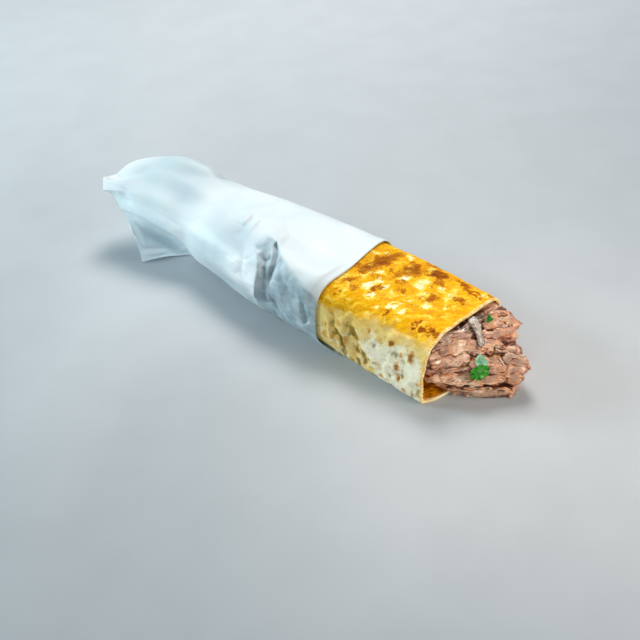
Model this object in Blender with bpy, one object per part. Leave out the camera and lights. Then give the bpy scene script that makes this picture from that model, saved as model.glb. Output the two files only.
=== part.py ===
"""Beef wrap: sliced beef in a griddled flatbread roll, the lower part in a crumpled paper wrapper.

Sizes are in millimetres in the tables and turned into metres where a mesh is made.
x runs along the roll, with 0 at the open end of the bread and the wrapper towards -x.
y runs across the roll and z is up from the ground.
"""
import math

import bpy
import bmesh
import numpy as np
from mathutils import Vector, noise

MM = 0.001

# Driving sizes
MOUTH_X = 0.0
BREAD_END_X = -206.0
PAPER_EDGE_X = -77.5
PAPER_TUBE_END_X = -200.0
BREAD_WALL = 1.8
PAPER_WALL = 0.5
NODE_GAP = 0.3
END_ROUND = ((10.0, 0.0), (5.0, 1.6), (1.5, 5.0), (0.0, 11.0))

# Sections of the bread along the roll: x, then (y, z) of the near foot, near shoulder, far shoulder
# and far foot of the section, then how far each of those corners is rounded.
SECTIONS = (
    (12, -2.6, 0.0, 6.6, 36.8, 71.6, 31.6, 70.0, 0.0, 4, 18, 13, 10),
    (0, -2.4, 0.0, 6.4, 36.9, 71.6, 32.2, 70.0, 0.0, 4, 18, 13, 10),
    (-28, -1.6, 0.0, 5.4, 37.2, 72.2, 34.6, 70.5, 0.0, 6, 18, 13, 11),
    (-46, -0.9, 0.1, 4.2, 37.3, 72.5, 36.0, 70.8, 0.1, 7, 17, 13, 12),
    (-60, -0.2, 0.8, 3.5, 37.3, 72.6, 36.8, 70.7, 0.8, 8, 17, 13, 12),
    (-76, 0.6, 0.8, 2.6, 37.4, 72.2, 37.4, 70.6, 0.8, 9, 16, 13, 12),
    (-100, 1.4, 0.8, 2.4, 37.8, 72.2, 38.4, 70.4, 0.8, 10, 15, 14, 13),
    (-122, 1.4, 0.8, 3.0, 38.0, 71.8, 39.2, 70.0, 0.8, 12, 18, 15, 13),
    (-146, 1.4, 0.8, 4.2, 38.2, 71.2, 39.8, 69.0, 0.8, 16, 24, 16, 14),
    (-172, 5.0, 0.8, 7.0, 38.2, 69.8, 39.6, 67.8, 0.8, 19, 25, 16, 15),
    (-200, 8.6, 0.8, 10.4, 37.6, 67.6, 38.6, 66.0, 0.8, 21, 25, 16, 16),
    (-214, 10.6, 0.8, 12.0, 37.0, 66.0, 37.4, 64.0, 0.8, 21, 25, 16, 16),
)

# Steps along the four sides of a section: near side, top, far side, bottom.
SIDE_STEPS = (18, 20, 9, 7)
COLUMNS = sum(SIDE_STEPS)
GRID_STEP = 2.0
HIDDEN_X = (-172.0, -146.0, -122.0, -98.0)


def smooth_rows(table, at):
    """Values of a table's rows at a place between them, on a smooth curve through the rows."""
    rows = np.array(sorted(table), dtype=float)
    keys = rows[:, 0]
    slopes = np.gradient(rows[:, 1:], keys, axis=0)
    at = min(max(at, keys[0]), keys[-1])
    i = min(int(np.searchsorted(keys, at, side="right")) - 1, len(keys) - 2)
    span = keys[i + 1] - keys[i]
    t = (at - keys[i]) / span
    a, b = rows[i, 1:], rows[i + 1, 1:]
    return ((2 * t ** 3 - 3 * t ** 2 + 1) * a + (t ** 3 - 2 * t ** 2 + t) * span * slopes[i]
            + (3 * t ** 2 - 2 * t ** 3) * b + (t ** 3 - t ** 2) * span * slopes[i + 1])


def moved_out(corners, grow):
    """Corners of a four-sided section whose sides are all moved outward by one distance."""
    count = len(corners)
    middle = corners.mean(axis=0)
    lines = []
    for i in range(count):
        a, b = corners[i], corners[(i + 1) % count]
        along = (b - a) / np.linalg.norm(b - a)
        normal = np.array((along[1], -along[0]))
        if np.dot(normal, (a + b) / 2 - middle) < 0:
            normal = -normal
        lines.append((normal, np.dot(normal, a) + grow))
    result = []
    for i in range(count):
        (n1, c1), (n2, c2) = lines[i - 1], lines[i]
        result.append(np.linalg.solve(np.array((n1, n2)), np.array((c1, c2))))
    return np.array(result)


def resampled(points, steps):
    """Points spaced evenly along a line, without the last one."""
    points = np.array(points)
    lengths = np.concatenate(([0.0], np.cumsum(np.linalg.norm(np.diff(points, axis=0), axis=1))))
    at = np.linspace(0.0, lengths[-1], steps, endpoint=False)
    return np.stack([np.interp(at, lengths, points[:, k]) for k in range(points.shape[1])], axis=1)


def section_ring(x, grow, steps=SIDE_STEPS):
    """Rounded four-sided section of the roll at x, moved outward by grow: (y, z) points."""
    values = smooth_rows(SECTIONS, x)
    corners = moved_out(values[:8].reshape(4, 2), grow)
    rounds = np.maximum(values[8:] + 1.17 * grow, 0.8)
    arcs = []
    for i in range(4):
        corner = corners[i]
        before = corners[i - 1] - corner
        after = corners[(i + 1) % 4] - corner
        reach_in = min(rounds[i], 0.48 * np.linalg.norm(before))
        reach_out = min(rounds[i], 0.48 * np.linalg.norm(after))
        start = corner + before / np.linalg.norm(before) * reach_in
        end = corner + after / np.linalg.norm(after) * reach_out
        arcs.append([(1 - t) ** 2 * start + 2 * t * (1 - t) * corner + t * t * end
                     for t in np.linspace(0.0, 1.0, 17)])
    ring = []
    for i in range(4):
        side = arcs[i][8:] + arcs[(i + 1) % 4][:9]
        ring.append(resampled(side, steps[i]))
    return np.concatenate(ring)


def side_positions(steps=SIDE_STEPS):
    """Place of each column round the section: 0 to 1 near side, to 2 top, to 3 far side, to 4 bottom."""
    return np.concatenate([i + np.arange(n) / n for i, n in enumerate(steps)])


class Roll:
    """Surface of the roll at one distance outside the bread, for any x and column."""

    def __init__(self, grow, steps=SIDE_STEPS):
        self.first = SECTIONS[-1][0]
        self.count = int((SECTIONS[0][0] - self.first) / GRID_STEP) + 1
        self.rings = np.array([section_ring(self.first + GRID_STEP * k, grow, steps)
                               for k in range(self.count)])
        middle = self.rings.mean(axis=1, keepdims=True)
        outward = np.roll(self.rings, -1, axis=1) - np.roll(self.rings, 1, axis=1)
        outward = np.stack((outward[..., 1], -outward[..., 0]), axis=-1)
        outward /= np.linalg.norm(outward, axis=-1, keepdims=True)
        flip = np.sign(np.sum(outward * (self.rings - middle), axis=-1, keepdims=True))
        self.outward = outward * flip

    def points(self, xs, lift=0.0):
        """One ring with its own x for each column, raised from the surface by lift."""
        xs = np.asarray(xs, dtype=float)
        at = np.clip((xs - self.first) / GRID_STEP, 0, self.count - 1.001)
        low = at.astype(int)
        part = (at - low)[:, None]
        column = np.arange(len(xs))
        place = self.rings[low, column] * (1 - part) + self.rings[low + 1, column] * part
        normal = self.outward[low, column] * (1 - part) + self.outward[low + 1, column] * part
        place = place + normal * np.reshape(lift, (-1, 1))
        return np.column_stack((xs, place))


def grounded(ring, low=0.0):
    """The ring with no point under the height low."""
    ring[:, 2] = np.maximum(ring[:, 2], low)
    return ring


def end_rings(x_end, grow, steps=SIDE_STEPS, toward=-1.0):
    """Rings that close the roll with a rounded end at x_end."""
    rings = []
    for back, inset in END_ROUND:
        x = x_end - toward * back
        ring = section_ring(x, grow - inset, steps)
        rings.append(np.column_stack((np.full(len(ring), x), ring)))
    return rings


def bump(distance, width):
    return np.exp(-(distance / width) ** 2)


def wave(x, y, z, size, seed):
    """Smooth unevenness between -1 and 1 that repeats nowhere on the part."""
    return noise.noise(Vector((x / size + seed, y / size, z / size)))


def material(name, colour, roughness):
    made = bpy.data.materials.new(name)
    made.use_nodes = True
    shader = made.node_tree.nodes["Principled BSDF"]
    shader.inputs["Base Color"].default_value = (*colour, 1.0)
    shader.inputs["Roughness"].default_value = roughness
    return made


def mesh_object(name, points, faces, look):
    """Object from millimetre points, with its faces turned outward and shaded smooth."""
    mesh = bpy.data.meshes.new(name)
    mesh.from_pydata([tuple(np.array(p) * MM) for p in points], [], faces)
    shape = bmesh.new()
    shape.from_mesh(mesh)
    bmesh.ops.recalc_face_normals(shape, faces=shape.faces)
    if shape.calc_volume(signed=True) < 0:
        bmesh.ops.reverse_faces(shape, faces=shape.faces)
    shape.to_mesh(mesh)
    shape.free()
    mesh.polygons.foreach_set("use_smooth", [True] * len(mesh.polygons))
    mesh.materials.append(look)
    thing = bpy.data.objects.new(name, mesh)
    return thing


def lofted(rings):
    """Points and faces through rings of equal count, with a flat face over the first and last."""
    count = len(rings[0])
    points = [p for ring in rings for p in ring]
    faces = []
    for k in range(len(rings) - 1):
        for j in range(count):
            a = k * count + j
            b = k * count + (j + 1) % count
            faces.append((a, b, b + count, a + count))
    faces.append(tuple(range(count)))
    last = (len(rings) - 1) * count
    faces.append(tuple(range(last, last + count)))
    return points, faces


# Flatbread

# Blisters of the griddled bread: x, place round the section, width and height.
BLISTERS = (
    (-19, 0.42, 4.0, 0.9), (-6.5, 0.36, 4.0, 0.8), (-19, 0.22, 5.0, 0.8), (-34, 0.22, 4.5, 0.7),
    (-60, 0.12, 4.0, 0.9), (-45, 0.52, 5.0, 0.8), (-66, 0.55, 5.0, 0.6), (-3.5, 0.80, 4.0, 0.6),
    (-30, 1.10, 5.0, 0.6), (-46, 1.32, 5.0, 0.8), (-22, 1.45, 6.0, 0.6), (-58, 1.62, 6.0, 0.7),
    (-12, 1.66, 5.0, 0.6), (-36, 1.80, 6.0, 0.5), (-24, 2.40, 6.0, 0.6), (-52, 2.55, 6.0, 0.6),
)
# Fold down the near side of the bread: its x at the shoulder and at the foot, depth and width.
SIDE_FOLD = (-66.0, -46.0, 1.5, 2.6)
BARE_FROM_X = -72.0


def mouth_edge(places):
    """x of the bread's open edge round the section, with the torn lip on the floor side."""
    edge = []
    for s in places:
        lip = 7.6 * bump(min(abs(s - 3.72), abs(s + 4 - 3.72)), 0.22)
        tear = 0.7 * math.sin(23.0 * s) * bump(min(abs(s - 3.8), abs(s + 4 - 3.8)), 0.3)
        edge.append(MOUTH_X + lip + tear + 0.35 * wave(0, s * 9.0, 0, 2.0, 11.0))
    return np.array(edge)


def bread_relief(xs, places):
    """Height of the bread's blisters, waves and side fold where it is out of the paper."""
    lift = np.zeros(len(xs))
    for i, (x, s) in enumerate(zip(xs, places)):
        if s > 2.95:
            continue
        bare = min(max((x - BARE_FROM_X) / 10.0, 0.0), 1.0)
        height = 0.35 * wave(x, s * 30.0, 0.0, 9.0, 3.0)
        for bx, bs, width, tall in BLISTERS:
            height += tall * bump(math.hypot(x - bx, (s - bs) * 36.0), width)
        top_x, foot_x, deep, wide = SIDE_FOLD
        if s < 1.05:
            line = foot_x + (top_x - foot_x) * s
            height -= deep * bump(x - line, wide) * min(1.0, 3.0 * (1.08 - s)) * min(1.0, 4.0 * s + 0.3)
            height += 0.8 * bump(x - line + 6.0, 4.0) * (1.0 - s)
        lift[i] = height * bare
    return lift


def build_flatbread(look):
    places = side_positions()
    edge = mouth_edge(places)
    skin = Roll(0.0)
    inside = Roll(-BREAD_WALL)
    rings = list(reversed(end_rings(BREAD_END_X, 0.0)))
    shown = np.linspace(0.0, 1.0, 23)[1:]
    for x in HIDDEN_X + (BARE_FROM_X,):
        rings.append(skin.points(np.full(COLUMNS, x)))
    for t in shown:
        xs = BARE_FROM_X + (edge - BARE_FROM_X) * t
        rings.append(grounded(skin.points(xs, bread_relief(xs, places))))
    for t in (0.0, 0.12, 0.3, 0.6):
        xs = edge + (BARE_FROM_X - edge) * t
        relief = bread_relief(xs, places)
        thin = 0.25 * wave(0, 5.0, 0, 1.0, 2.0) if t == 0.0 else 0.0
        rings.append(inside.points(xs - 0.2, relief * 0.9 + thin))
    for x in (BARE_FROM_X,) + HIDDEN_X[::-1]:
        rings.append(inside.points(np.full(COLUMNS, x)))
    rings += end_rings(BREAD_END_X + BREAD_WALL, -BREAD_WALL)
    points, faces = lofted(rings)
    return mesh_object("flatbread", points, faces, look)


# Paper wrapper

# Folds of the paper: the ridge as points of x and place round the section from its upper end down,
# its height, then how far it runs out towards the wrapped end and towards the mouth.
FOLDS = (
    (((-156, 1.62), (-147, 1.35), (-131.5, 0.84), (-132.5, 0.02)), 4.4, 28.0, 8.0),
    (((-136, 1.48), (-119, 1.12), (-117, 0.66)), 1.7, 3.4, 3.4),
    (((-124, 0.66), (-111, 0.04)), 1.4, 4.0, 3.4),
    (((-160, 1.50), (-151, 1.22)), 1.4, 3.0, 3.0),
    (((-167, 1.54), (-160, 1.16)), 1.4, 4.0, 3.0),
    (((-178, 1.62), (-167, 1.20), (-176, 0.80)), 1.4, 5.0, 3.4),
    (((-89, 0.76), (-84, 0.06)), 1.3, 3.0, 3.0),
    (((-97, 0.86), (-112, 0.16)), 1.0, 5.0, 3.0),
    (((-120, 1.78), (-150, 1.60)), 0.8, 4.0, 4.0),
    (((-96, 1.85), (-110, 1.40)), 0.6, 5.0, 5.0),
    (((-104, 2.60), (-128, 2.10)), 1.2, 5.0, 5.0),
    (((-150, 2.75), (-168, 2.15)), 1.4, 6.0, 5.0),
    (((-185, 2.70), (-176, 2.20)), 1.2, 5.0, 5.0),
)

# Hem that closes the wrapped end, from the tail on the ground up to the tip.
HEM = ((-236, -7, 0.3), (-240, -5, 6), (-257, 1, 18), (-267, 4, 28), (-272, 5, 34),
       (-277.5, 0.5, 38), (-288, 9, 42.5))

# How the paper runs from the tube to the hem, at places round the section: the two handles of the
# curve that it follows, and where on the hem it ends.
END_RUNS = (
    (0.00, -213, 23, 0.3, -229, 14, 0.3, 0.00),
    (0.28, -214, 20, 10, -238, 22, 12, 0.28),
    (0.60, -216, 5.0, 26, -246, 1.5, 32, 0.62),
    (0.95, -226, 10, 40, -262, 7, 43, 0.80),
    (1.45, -236, 34, 54, -277, 21, 39.5, 1.00),
    (2.00, -247, 66, 53, -303, 50, 43, 0.90),
    (2.50, -240, 68, 21, -276, 38, 24, 0.50),
    (3.00, -226, 62, 0.6, -256, 24, 3, 0.18),
    (3.50, -212, 38, 0.3, -234, 16, 0.3, 0.04),
)
END_STEPS = 10
# Places of the rings along the outside of the tube, from the open edge to its far end.
TUBE_STEPS = np.concatenate((np.linspace(0.0, 0.08, 3), np.linspace(0.12, 0.26, 4),
                             np.linspace(0.30, 0.66, 15), np.linspace(0.70, 1.0, 8)))
PAPER_CURL = 1.6


def paper_edge(places):
    """x of the paper's open edge round the section."""
    edge = []
    for s in places:
        lip = 13.0 * bump(min(abs(s - 3.97), abs(s + 4 - 3.97)), 0.13)
        back = 4.0 * bump(s - 1.9, 0.35)
        edge.append(PAPER_EDGE_X + lip - back + 0.8 * wave(0, s * 9.0, 0, 4.0, 31.0))
    return np.array(edge)


def paper_relief(xs, places):
    """Height of the folds and soft dents of the paper, never below the tube."""
    lift = np.zeros(len(xs))
    for i, (x, s) in enumerate(zip(xs, places)):
        height = 0.5 + 0.5 * wave(x, s * 30.0, 0.0, 26.0, 7.0)
        for ridge, tall, back, front in FOLDS:
            top_s, low_s = ridge[0][1], ridge[-1][1]
            t = (top_s - s) / (top_s - low_s)
            if -0.15 < t < 1.15:
                down = np.array(ridge[::-1])
                away = x - np.interp(s, down[:, 1], down[:, 0])
                slope = max(0.0, 1.0 - abs(away) / (back if away < 0 else front))
                height += tall * slope * math.sin(math.pi * (t + 0.15) / 1.3)
        if s < 0.12:
            height *= 0.3 + 6.0 * s
        if s < 3.02:
            lift[i] = height
    return lift


def edge_curl(places):
    """How far the open edge of the paper stands off the bread."""
    return np.array([0.25 + PAPER_CURL * bump(s - 0.10, 0.12) + 0.9 * bump(s - 1.98, 0.12)
                     for s in places])


def hem_points(part, layer):
    """Point on the hem: part of the way from the tail to the tip, on the near or the far layer."""
    line = np.array(HEM, dtype=float)
    lengths = np.concatenate(([0.0], np.cumsum(np.linalg.norm(np.diff(line, axis=0), axis=1))))
    at = part * lengths[-1]
    place = np.array([np.interp(at, lengths, line[:, k]) for k in range(3)])
    return place + np.array((0.50, -0.45, 0.60)) * layer


def end_run(s):
    """Handles and hem place for a column, on a smooth closed curve through END_RUNS."""
    rows = [(r[0] + shift, *r[1:]) for shift in (-4.0, 0.0, 4.0) for r in END_RUNS]
    return smooth_rows(rows, s)


def build_paper(look):
    places = side_positions()
    edge = paper_edge(places)
    curl = edge_curl(places)
    inside = Roll(NODE_GAP)
    outside = Roll(NODE_GAP + PAPER_WALL)
    rings = list(reversed(end_rings(BREAD_END_X - NODE_GAP, NODE_GAP)))
    for x in HIDDEN_X:
        rings.append(inside.points(np.full(COLUMNS, x)))
    for t, share in ((0.35, 0.25), (0.15, 0.6), (0.0, 1.0)):
        xs = edge + (HIDDEN_X[-1] - edge) * t
        rings.append(grounded(inside.points(xs, curl * share), PAPER_WALL))
    for t in TUBE_STEPS:
        xs = edge + (PAPER_TUBE_END_X - edge) * t
        near_edge = max(0.0, 1.0 - t / 0.14)
        relief = paper_relief(xs, places) * min(1.0, 0.25 + t / 0.12)
        rings.append(grounded(outside.points(xs, np.maximum(relief, curl * near_edge))))
    base = rings[-1]
    half = COLUMNS // 2
    for k in range(1, END_STEPS + 1):
        t = k / END_STEPS
        ring = []
        for j, s in enumerate(places):
            values = end_run(s)
            layer = 0.45 if j <= half else -0.45
            hem = hem_points(min(max(values[6], 0.0), 1.0), layer if j not in (0, half) else 0.0)
            first, second = values[0:3], values[3:6]
            place = ((1 - t) ** 3 * base[j] + 3 * t * (1 - t) ** 2 * first
                     + 3 * t * t * (1 - t) * second + t ** 3 * hem)
            place[2] = max(place[2], 0.0)
            ring.append(place)
        rings.append(np.array(ring))
    points, faces = lofted(rings)
    faces.pop()
    start = (len(rings) - 1) * COLUMNS
    for j in range(half):
        a, b = start + j, start + j + 1
        c, d = start + COLUMNS - j - 1, start + (COLUMNS - j) % COLUMNS
        if j == 0:
            faces.append((a, b, c))
        elif j == half - 1:
            faces.append((a, b, d))
        else:
            faces.append((a, b, c, d))
    return mesh_object("paper_wrapper", points, faces, look)


# Beef

FILLING_GAP = 1.6
CORE_STEPS = (7, 8, 5, 4)
CORE_FRONT_X = -13.0
LAYER_BACK_X = -17.0
FLOOR_LIFT = BREAD_WALL + 0.7

# Layers of sliced beef in the open end, from the ground up: the heights of a layer, where it leaves
# the bread on the near side, its furthest point forward and its far corner, as (x, y).
LAYERS = (
    (0.0, 5.4, 9.2, 14.0, 37.5, 32.5, 29.0, 50.0),
    (4.7, 9.6, 0.0, 19.0, 36.5, 38.0, 31.0, 50.5),
    (8.9, 13.6, -2.0, 6.8, 37.0, 43.5, 31.0, 53.0),
    (12.9, 17.8, -1.0, 7.0, 33.5, 45.0, 30.0, 53.5),
    (17.0, 21.8, -2.0, 8.5, 24.5, 43.0, 24.0, 54.0),
    (20.7, 25.4, -1.0, 8.8, 21.0, 45.0, 22.5, 53.5),
    (24.4, 29.2, -1.0, 13.0, 19.0, 48.0, 21.5, 57.0),
    (28.2, 31.6, -1.0, 18.0, 8.0, 42.0, 10.0, 50.0),
)
FRONT_POINTS = 20

# Thick slices and lumps on the layers: middle, half sizes, and turns about z and y in degrees.
LUMPS = (
    ((24.5, 43.0, 19.0), (5.0, 3.6, 2.6), 60, 0),
    ((29.5, 46.0, 15.6), (6.0, 4.6, 3.4), 50, 5),
    ((31.5, 41.5, 11.4), (5.4, 4.2, 3.0), 40, -8),
    ((33.0, 37.0, 7.6), (4.6, 3.2, 2.0), 45, 0),
    ((20.5, 32.0, 13.0), (8.0, 4.4, 3.6), 40, 6),
    ((12.0, 35.0, 20.5), (8.0, 4.0, 2.8), 58, -6),
    ((16.0, 47.0, 23.0), (7.5, 4.0, 2.4), 62, 8),
    ((5.0, 30.0, 27.2), (9.0, 3.4, 2.2), 68, 10),
    ((3.5, 21.5, 23.0), (9.0, 3.4, 2.4), 60, -10),
    ((4.5, 17.0, 17.6), (8.0, 3.2, 2.4), 50, 6),
    ((6.0, 17.5, 11.6), (9.0, 3.0, 2.2), 35, -6),
    ((15.0, 20.5, 7.4), (8.0, 3.0, 2.2), 35, 8),
    ((24.0, 26.5, 3.6), (8.0, 3.6, 2.6), 40, 0),
    ((17.0, 55.5, 26.8), (4.6, 6.0, 2.8), 20, 0),
    ((8.0, 55.0, 29.2), (3.4, 6.0, 2.0), 15, 0),
    ((3.8, 15.5, 30.4), (2.4, 5.0, 2.4), 12, 0),
    ((4.2, 25.0, 32.2), (2.6, 6.4, 2.2), 4, 0),
    ((5.0, 35.0, 31.4), (3.2, 6.0, 2.0), 8, 0),
    ((6.4, 47.0, 30.8), (4.4, 6.4, 2.2), 10, 0),
    ((7.8, 58.0, 29.8), (4.4, 6.0, 2.8), 20, 0),
)


def lip_x(y):
    """How far the bread's lip lies forward on the ground at y."""
    return 7.8 * math.exp(-((y - 17.0) / 17.0) ** 2)


def inner_limits(z):
    """Near and far limits in y for beef at height z inside the bread's open end."""
    ring = section_ring(MOUTH_X, -BREAD_WALL - 0.9)
    z = min(max(z, ring[:, 1].min() + 0.2), ring[:, 1].max() - 0.4)
    crossings = []
    for j in range(len(ring)):
        (y1, z1), (y2, z2) = ring[j], ring[(j + 1) % len(ring)]
        if (z1 - z) * (z2 - z) <= 0 and z1 != z2:
            crossings.append(y1 + (y2 - y1) * (z - z1) / (z2 - z1))
    return min(crossings), max(crossings)


def inner_ceiling(y):
    """Height limit for beef at y inside the bread's open end."""
    ring = section_ring(MOUTH_X, -BREAD_WALL - 0.9)
    y = min(max(y, ring[:, 0].min() + 0.3), ring[:, 0].max() - 0.3)
    heights = []
    for j in range(len(ring)):
        (y1, z1), (y2, z2) = ring[j], ring[(j + 1) % len(ring)]
        if (y1 - y) * (y2 - y) <= 0 and y1 != y2:
            heights.append(z1 + (z2 - z1) * (y - y1) / (y2 - y1))
    return max(heights)


def smooth_front(corners, count):
    """Evenly spaced points along a rounded line through the given corners."""
    line = [np.array(c, dtype=float) for c in corners]
    for _ in range(2):
        cut = [line[0]]
        for a, b in zip(line, line[1:]):
            cut += [a * 0.75 + b * 0.25, a * 0.25 + b * 0.75]
        line = cut + [line[-1]]
    return resampled(line, count)


def layer_outline(row, seed):
    """Plan outline of one beef layer: round its ragged front and back along the bread's inside."""
    low, high = row[:2]
    start, prow, far = row[2:4], row[4:6], row[6:8]
    near_in, far_in = inner_limits((low + high) / 2)
    far_in = min(far_in, inner_limits((low + high) / 2 + 1.0)[1])
    start_y = max(start[1], near_in)
    middle = (np.array((start[0], start_y)) + np.array(prow)) / 2 + np.array((1.6, -2.2))
    corners = ((start[0], start_y), middle, prow, (prow[0] - 0.5, (prow[1] + far[1]) / 2), far,
               (far[0] * 0.5, min(far[1] + 7.0, far_in - 1.0)), (0.0, far_in - 0.6))
    front = smooth_front(corners, FRONT_POINTS)
    for j in range(1, len(front)):
        x, y = front[j]
        if x > 3.0:
            front[j] += np.array((1.0, -0.7)) * 1.1 * wave(x, y, low, 4.0, seed)
    back_y = max(near_in, min(start_y, near_in + 12.0)) + 0.4
    back = [(0.0, far_in - 0.6), (LAYER_BACK_X, far_in - 0.8), (LAYER_BACK_X, (back_y + far_in) / 2),
            (LAYER_BACK_X, back_y)]
    return np.concatenate((front, np.array(back)))


def beef_layer(index, row):
    low, high = row[:2]
    outline = layer_outline(row, 5.0 * index)
    middle = outline.mean(axis=0)
    rings = []
    for part, inset in ((0.0, 1.3), (0.3, 0.1), (0.75, 0.0), (1.0, 1.2)):
        ring = []
        for x, y in outline:
            away = np.array((x, y)) - middle
            shrink = inset if x > 2.0 else 0.35 * inset
            px, py = np.array((x, y)) - away / np.linalg.norm(away) * shrink
            z = low + (high - low) * part + 0.5 * wave(px, py, 3.0 * index, 7.0, 1.0)
            z = max(z, FLOOR_LIFT)
            if px < 6.0:
                z = min(z, inner_ceiling(py) - 0.2)
                near, far = inner_limits(z + 0.1)
                py = min(max(py, near), far)
            ring.append((px, py, z))
        rings.append(np.array(ring))
    if index == 0:
        rings[0][:, 2] = FLOOR_LIFT
    return lofted(rings)


def beef_foot():
    """Bottom of the lowest layer, which lies on the ground in front of the bread's lip."""
    outline = layer_outline(LAYERS[0], 0.0)
    front = [p for p in outline[:FRONT_POINTS] if p[0] > lip_x(p[1]) + 1.6]
    last_y = front[-1][1]
    back = [(lip_x(y) + 1.3, y) for y in np.linspace(last_y - 0.5, front[0][1] + 0.5, 7)]
    outline = np.array([tuple(p) for p in front] + back)
    middle = outline.mean(axis=0)
    rings = []
    for z, inset in ((0.0, 1.0), (1.2, 0.2), (FLOOR_LIFT + 1.0, 0.5)):
        flat = middle + (outline - middle) * (1.0 - inset / 14.0)
        rings.append(np.column_stack((flat, np.full(len(flat), z))))
    return lofted(rings)


def lump(centre, half, turn, tilt):
    """Rounded slice or lump with few sides."""
    shape = bmesh.new()
    bmesh.ops.create_icosphere(shape, subdivisions=1, radius=1.0)
    cz, sz = math.cos(math.radians(turn)), math.sin(math.radians(turn))
    cy, sy = math.cos(math.radians(tilt)), math.sin(math.radians(tilt))
    points = []
    for vert in shape.verts:
        swell = 1.0 + 0.22 * wave(vert.co.x * 3, vert.co.y * 3, vert.co.z * 3, 2.0, centre[0])
        x, y, z = (vert.co[k] * half[k] * swell for k in range(3))
        x, z = x * cy + z * sy, -x * sy + z * cy
        x, y = x * cz - y * sz, x * sz + y * cz
        points.append((centre[0] + x, centre[1] + y, max(centre[2] + z, 0.6)))
    faces = [[vert.index for vert in face.verts] for face in shape.faces]
    shape.free()
    return points, faces


def beef_core():
    """Beef that runs through the bread, behind the layers."""
    grow = -BREAD_WALL - NODE_GAP - 0.1
    inside = Roll(grow, CORE_STEPS)
    slack = Roll(-BREAD_WALL - FILLING_GAP, CORE_STEPS)
    end_x = BREAD_END_X + BREAD_WALL + NODE_GAP
    count = sum(CORE_STEPS)
    rings = list(reversed(end_rings(end_x, grow, CORE_STEPS)))
    for x in HIDDEN_X:
        rings.append(inside.points(np.full(count, x)))
    for x in (BARE_FROM_X, -56.0, -38.0, CORE_FRONT_X):
        rings.append(slack.points(np.full(count, x)))
    return lofted(rings)


def fused(name, pieces, look, group):
    """One solid from overlapping pieces."""
    cutters = bpy.data.collections.new(name + "_pieces")
    bpy.context.scene.collection.children.link(cutters)
    base = mesh_object(name, *pieces[0], look)
    group.objects.link(base)
    for points, faces in pieces[1:]:
        piece = mesh_object(name + "_piece", points, faces, look)
        piece.hide_render = True
        piece.display_type = "WIRE"
        cutters.objects.link(piece)
    join = base.modifiers.new("join", "BOOLEAN")
    join.operation = "UNION"
    join.operand_type = "COLLECTION"
    join.collection = cutters
    join.solver = "EXACT"
    join.use_self = True
    graph = bpy.context.evaluated_depsgraph_get()
    mesh = bpy.data.meshes.new_from_object(base.evaluated_get(graph), depsgraph=graph)
    base.modifiers.clear()
    base.data = mesh
    for piece in list(cutters.objects):
        bpy.data.objects.remove(piece)
    bpy.data.collections.remove(cutters)
    return base


def tidy_solid(thing):
    """Merge near points, drop slivers and keep only the largest closed body."""
    shape = bmesh.new()
    shape.from_mesh(thing.data)
    bmesh.ops.remove_doubles(shape, verts=shape.verts, dist=0.000005)
    bmesh.ops.triangulate(shape, faces=shape.faces)
    unseen = set(shape.faces)
    bodies = []
    while unseen:
        body, reach = set(), [next(iter(unseen))]
        while reach:
            face = reach.pop()
            if face in unseen:
                unseen.discard(face)
                body.add(face)
                reach += [near for edge in face.edges for near in edge.link_faces]
        bodies.append(body)
    largest = max(bodies, key=len)
    drop = [face for body in bodies if body is not largest for face in body]
    bmesh.ops.delete(shape, geom=drop, context="FACES")
    loose = [vert for vert in shape.verts if not vert.link_faces]
    bmesh.ops.delete(shape, geom=loose, context="VERTS")
    bmesh.ops.recalc_face_normals(shape, faces=shape.faces)
    shape.to_mesh(thing.data)
    shape.free()


def build_beef(look, group):
    pieces = [beef_core(), beef_foot()]
    pieces += [beef_layer(i, row) for i, row in enumerate(LAYERS)]
    pieces += [lump(*row) for row in LUMPS]
    beef = fused("beef_filling", pieces, look, group)
    tidy_solid(beef)
    return beef


# Onion strip and parsley

# Middle line of the strip of grilled onion down the beef, its way across, and its sizes.
ONION_LINE = ((2.7, 40.5, 34.2), (5.6, 37.7, 34.5), (8.8, 36.0, 32.9), (12.3, 33.5, 31.4),
              (14.2, 32.5, 28.4), (15.6, 31.3, 26.6))
ONION_ACROSS = (0.40, 0.88, -0.16)
ONION_WIDTH = 4.8
ONION_THICK = 1.5

# Parsley leaves: name, middle, the way they face, length, width, lobes and turn in degrees.
LEAVES = (
    ("parsley_leaf", (20.5, 23.5, 16.6), (0.62, -0.52, 0.58), 10.6, 7.6, 5, 12),
    ("parsley_leaf_pale", (17.9, 27.2, 19.8), (0.66, -0.46, 0.58), 7.4, 6.0, 3, 100),
    ("parsley_sprig", (9.8, 45.4, 33.4), (0.55, -0.45, 0.70), 4.6, 3.4, 3, 60),
)
LEAF_THICK = 0.5
LEAF_POINTS = 15


def build_onion(look):
    """Bent strip with rounded edges and thin ends."""
    line = resampled(smooth_front(ONION_LINE, 24), 10)
    across = np.array(ONION_ACROSS) / np.linalg.norm(ONION_ACROSS)
    rings = []
    for k, place in enumerate(line):
        t = k / (len(line) - 1)
        along = line[min(k + 1, len(line) - 1)] - line[max(k - 1, 0)]
        normal = np.cross(along, across)
        normal /= np.linalg.norm(normal)
        half = ONION_WIDTH / 2 * (0.62 + 0.38 * math.sin(math.pi * min(t * 1.3 + 0.15, 1.0)))
        half *= 1.0 + 0.12 * math.sin(9.0 * t)
        thick = ONION_THICK / 2
        profile = ((-1.0, 0.0), (-0.72, 0.8), (-0.2, 0.55), (0.35, 1.0), (0.8, 0.7),
                   (1.0, 0.0), (0.8, -0.8), (0.0, -0.9), (-0.72, -0.8))
        rings.append(np.array([place + across * half * a + normal * thick * b for a, b in profile]))
    points, faces = lofted(rings)
    return mesh_object("onion_strip", points, faces, look)


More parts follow.
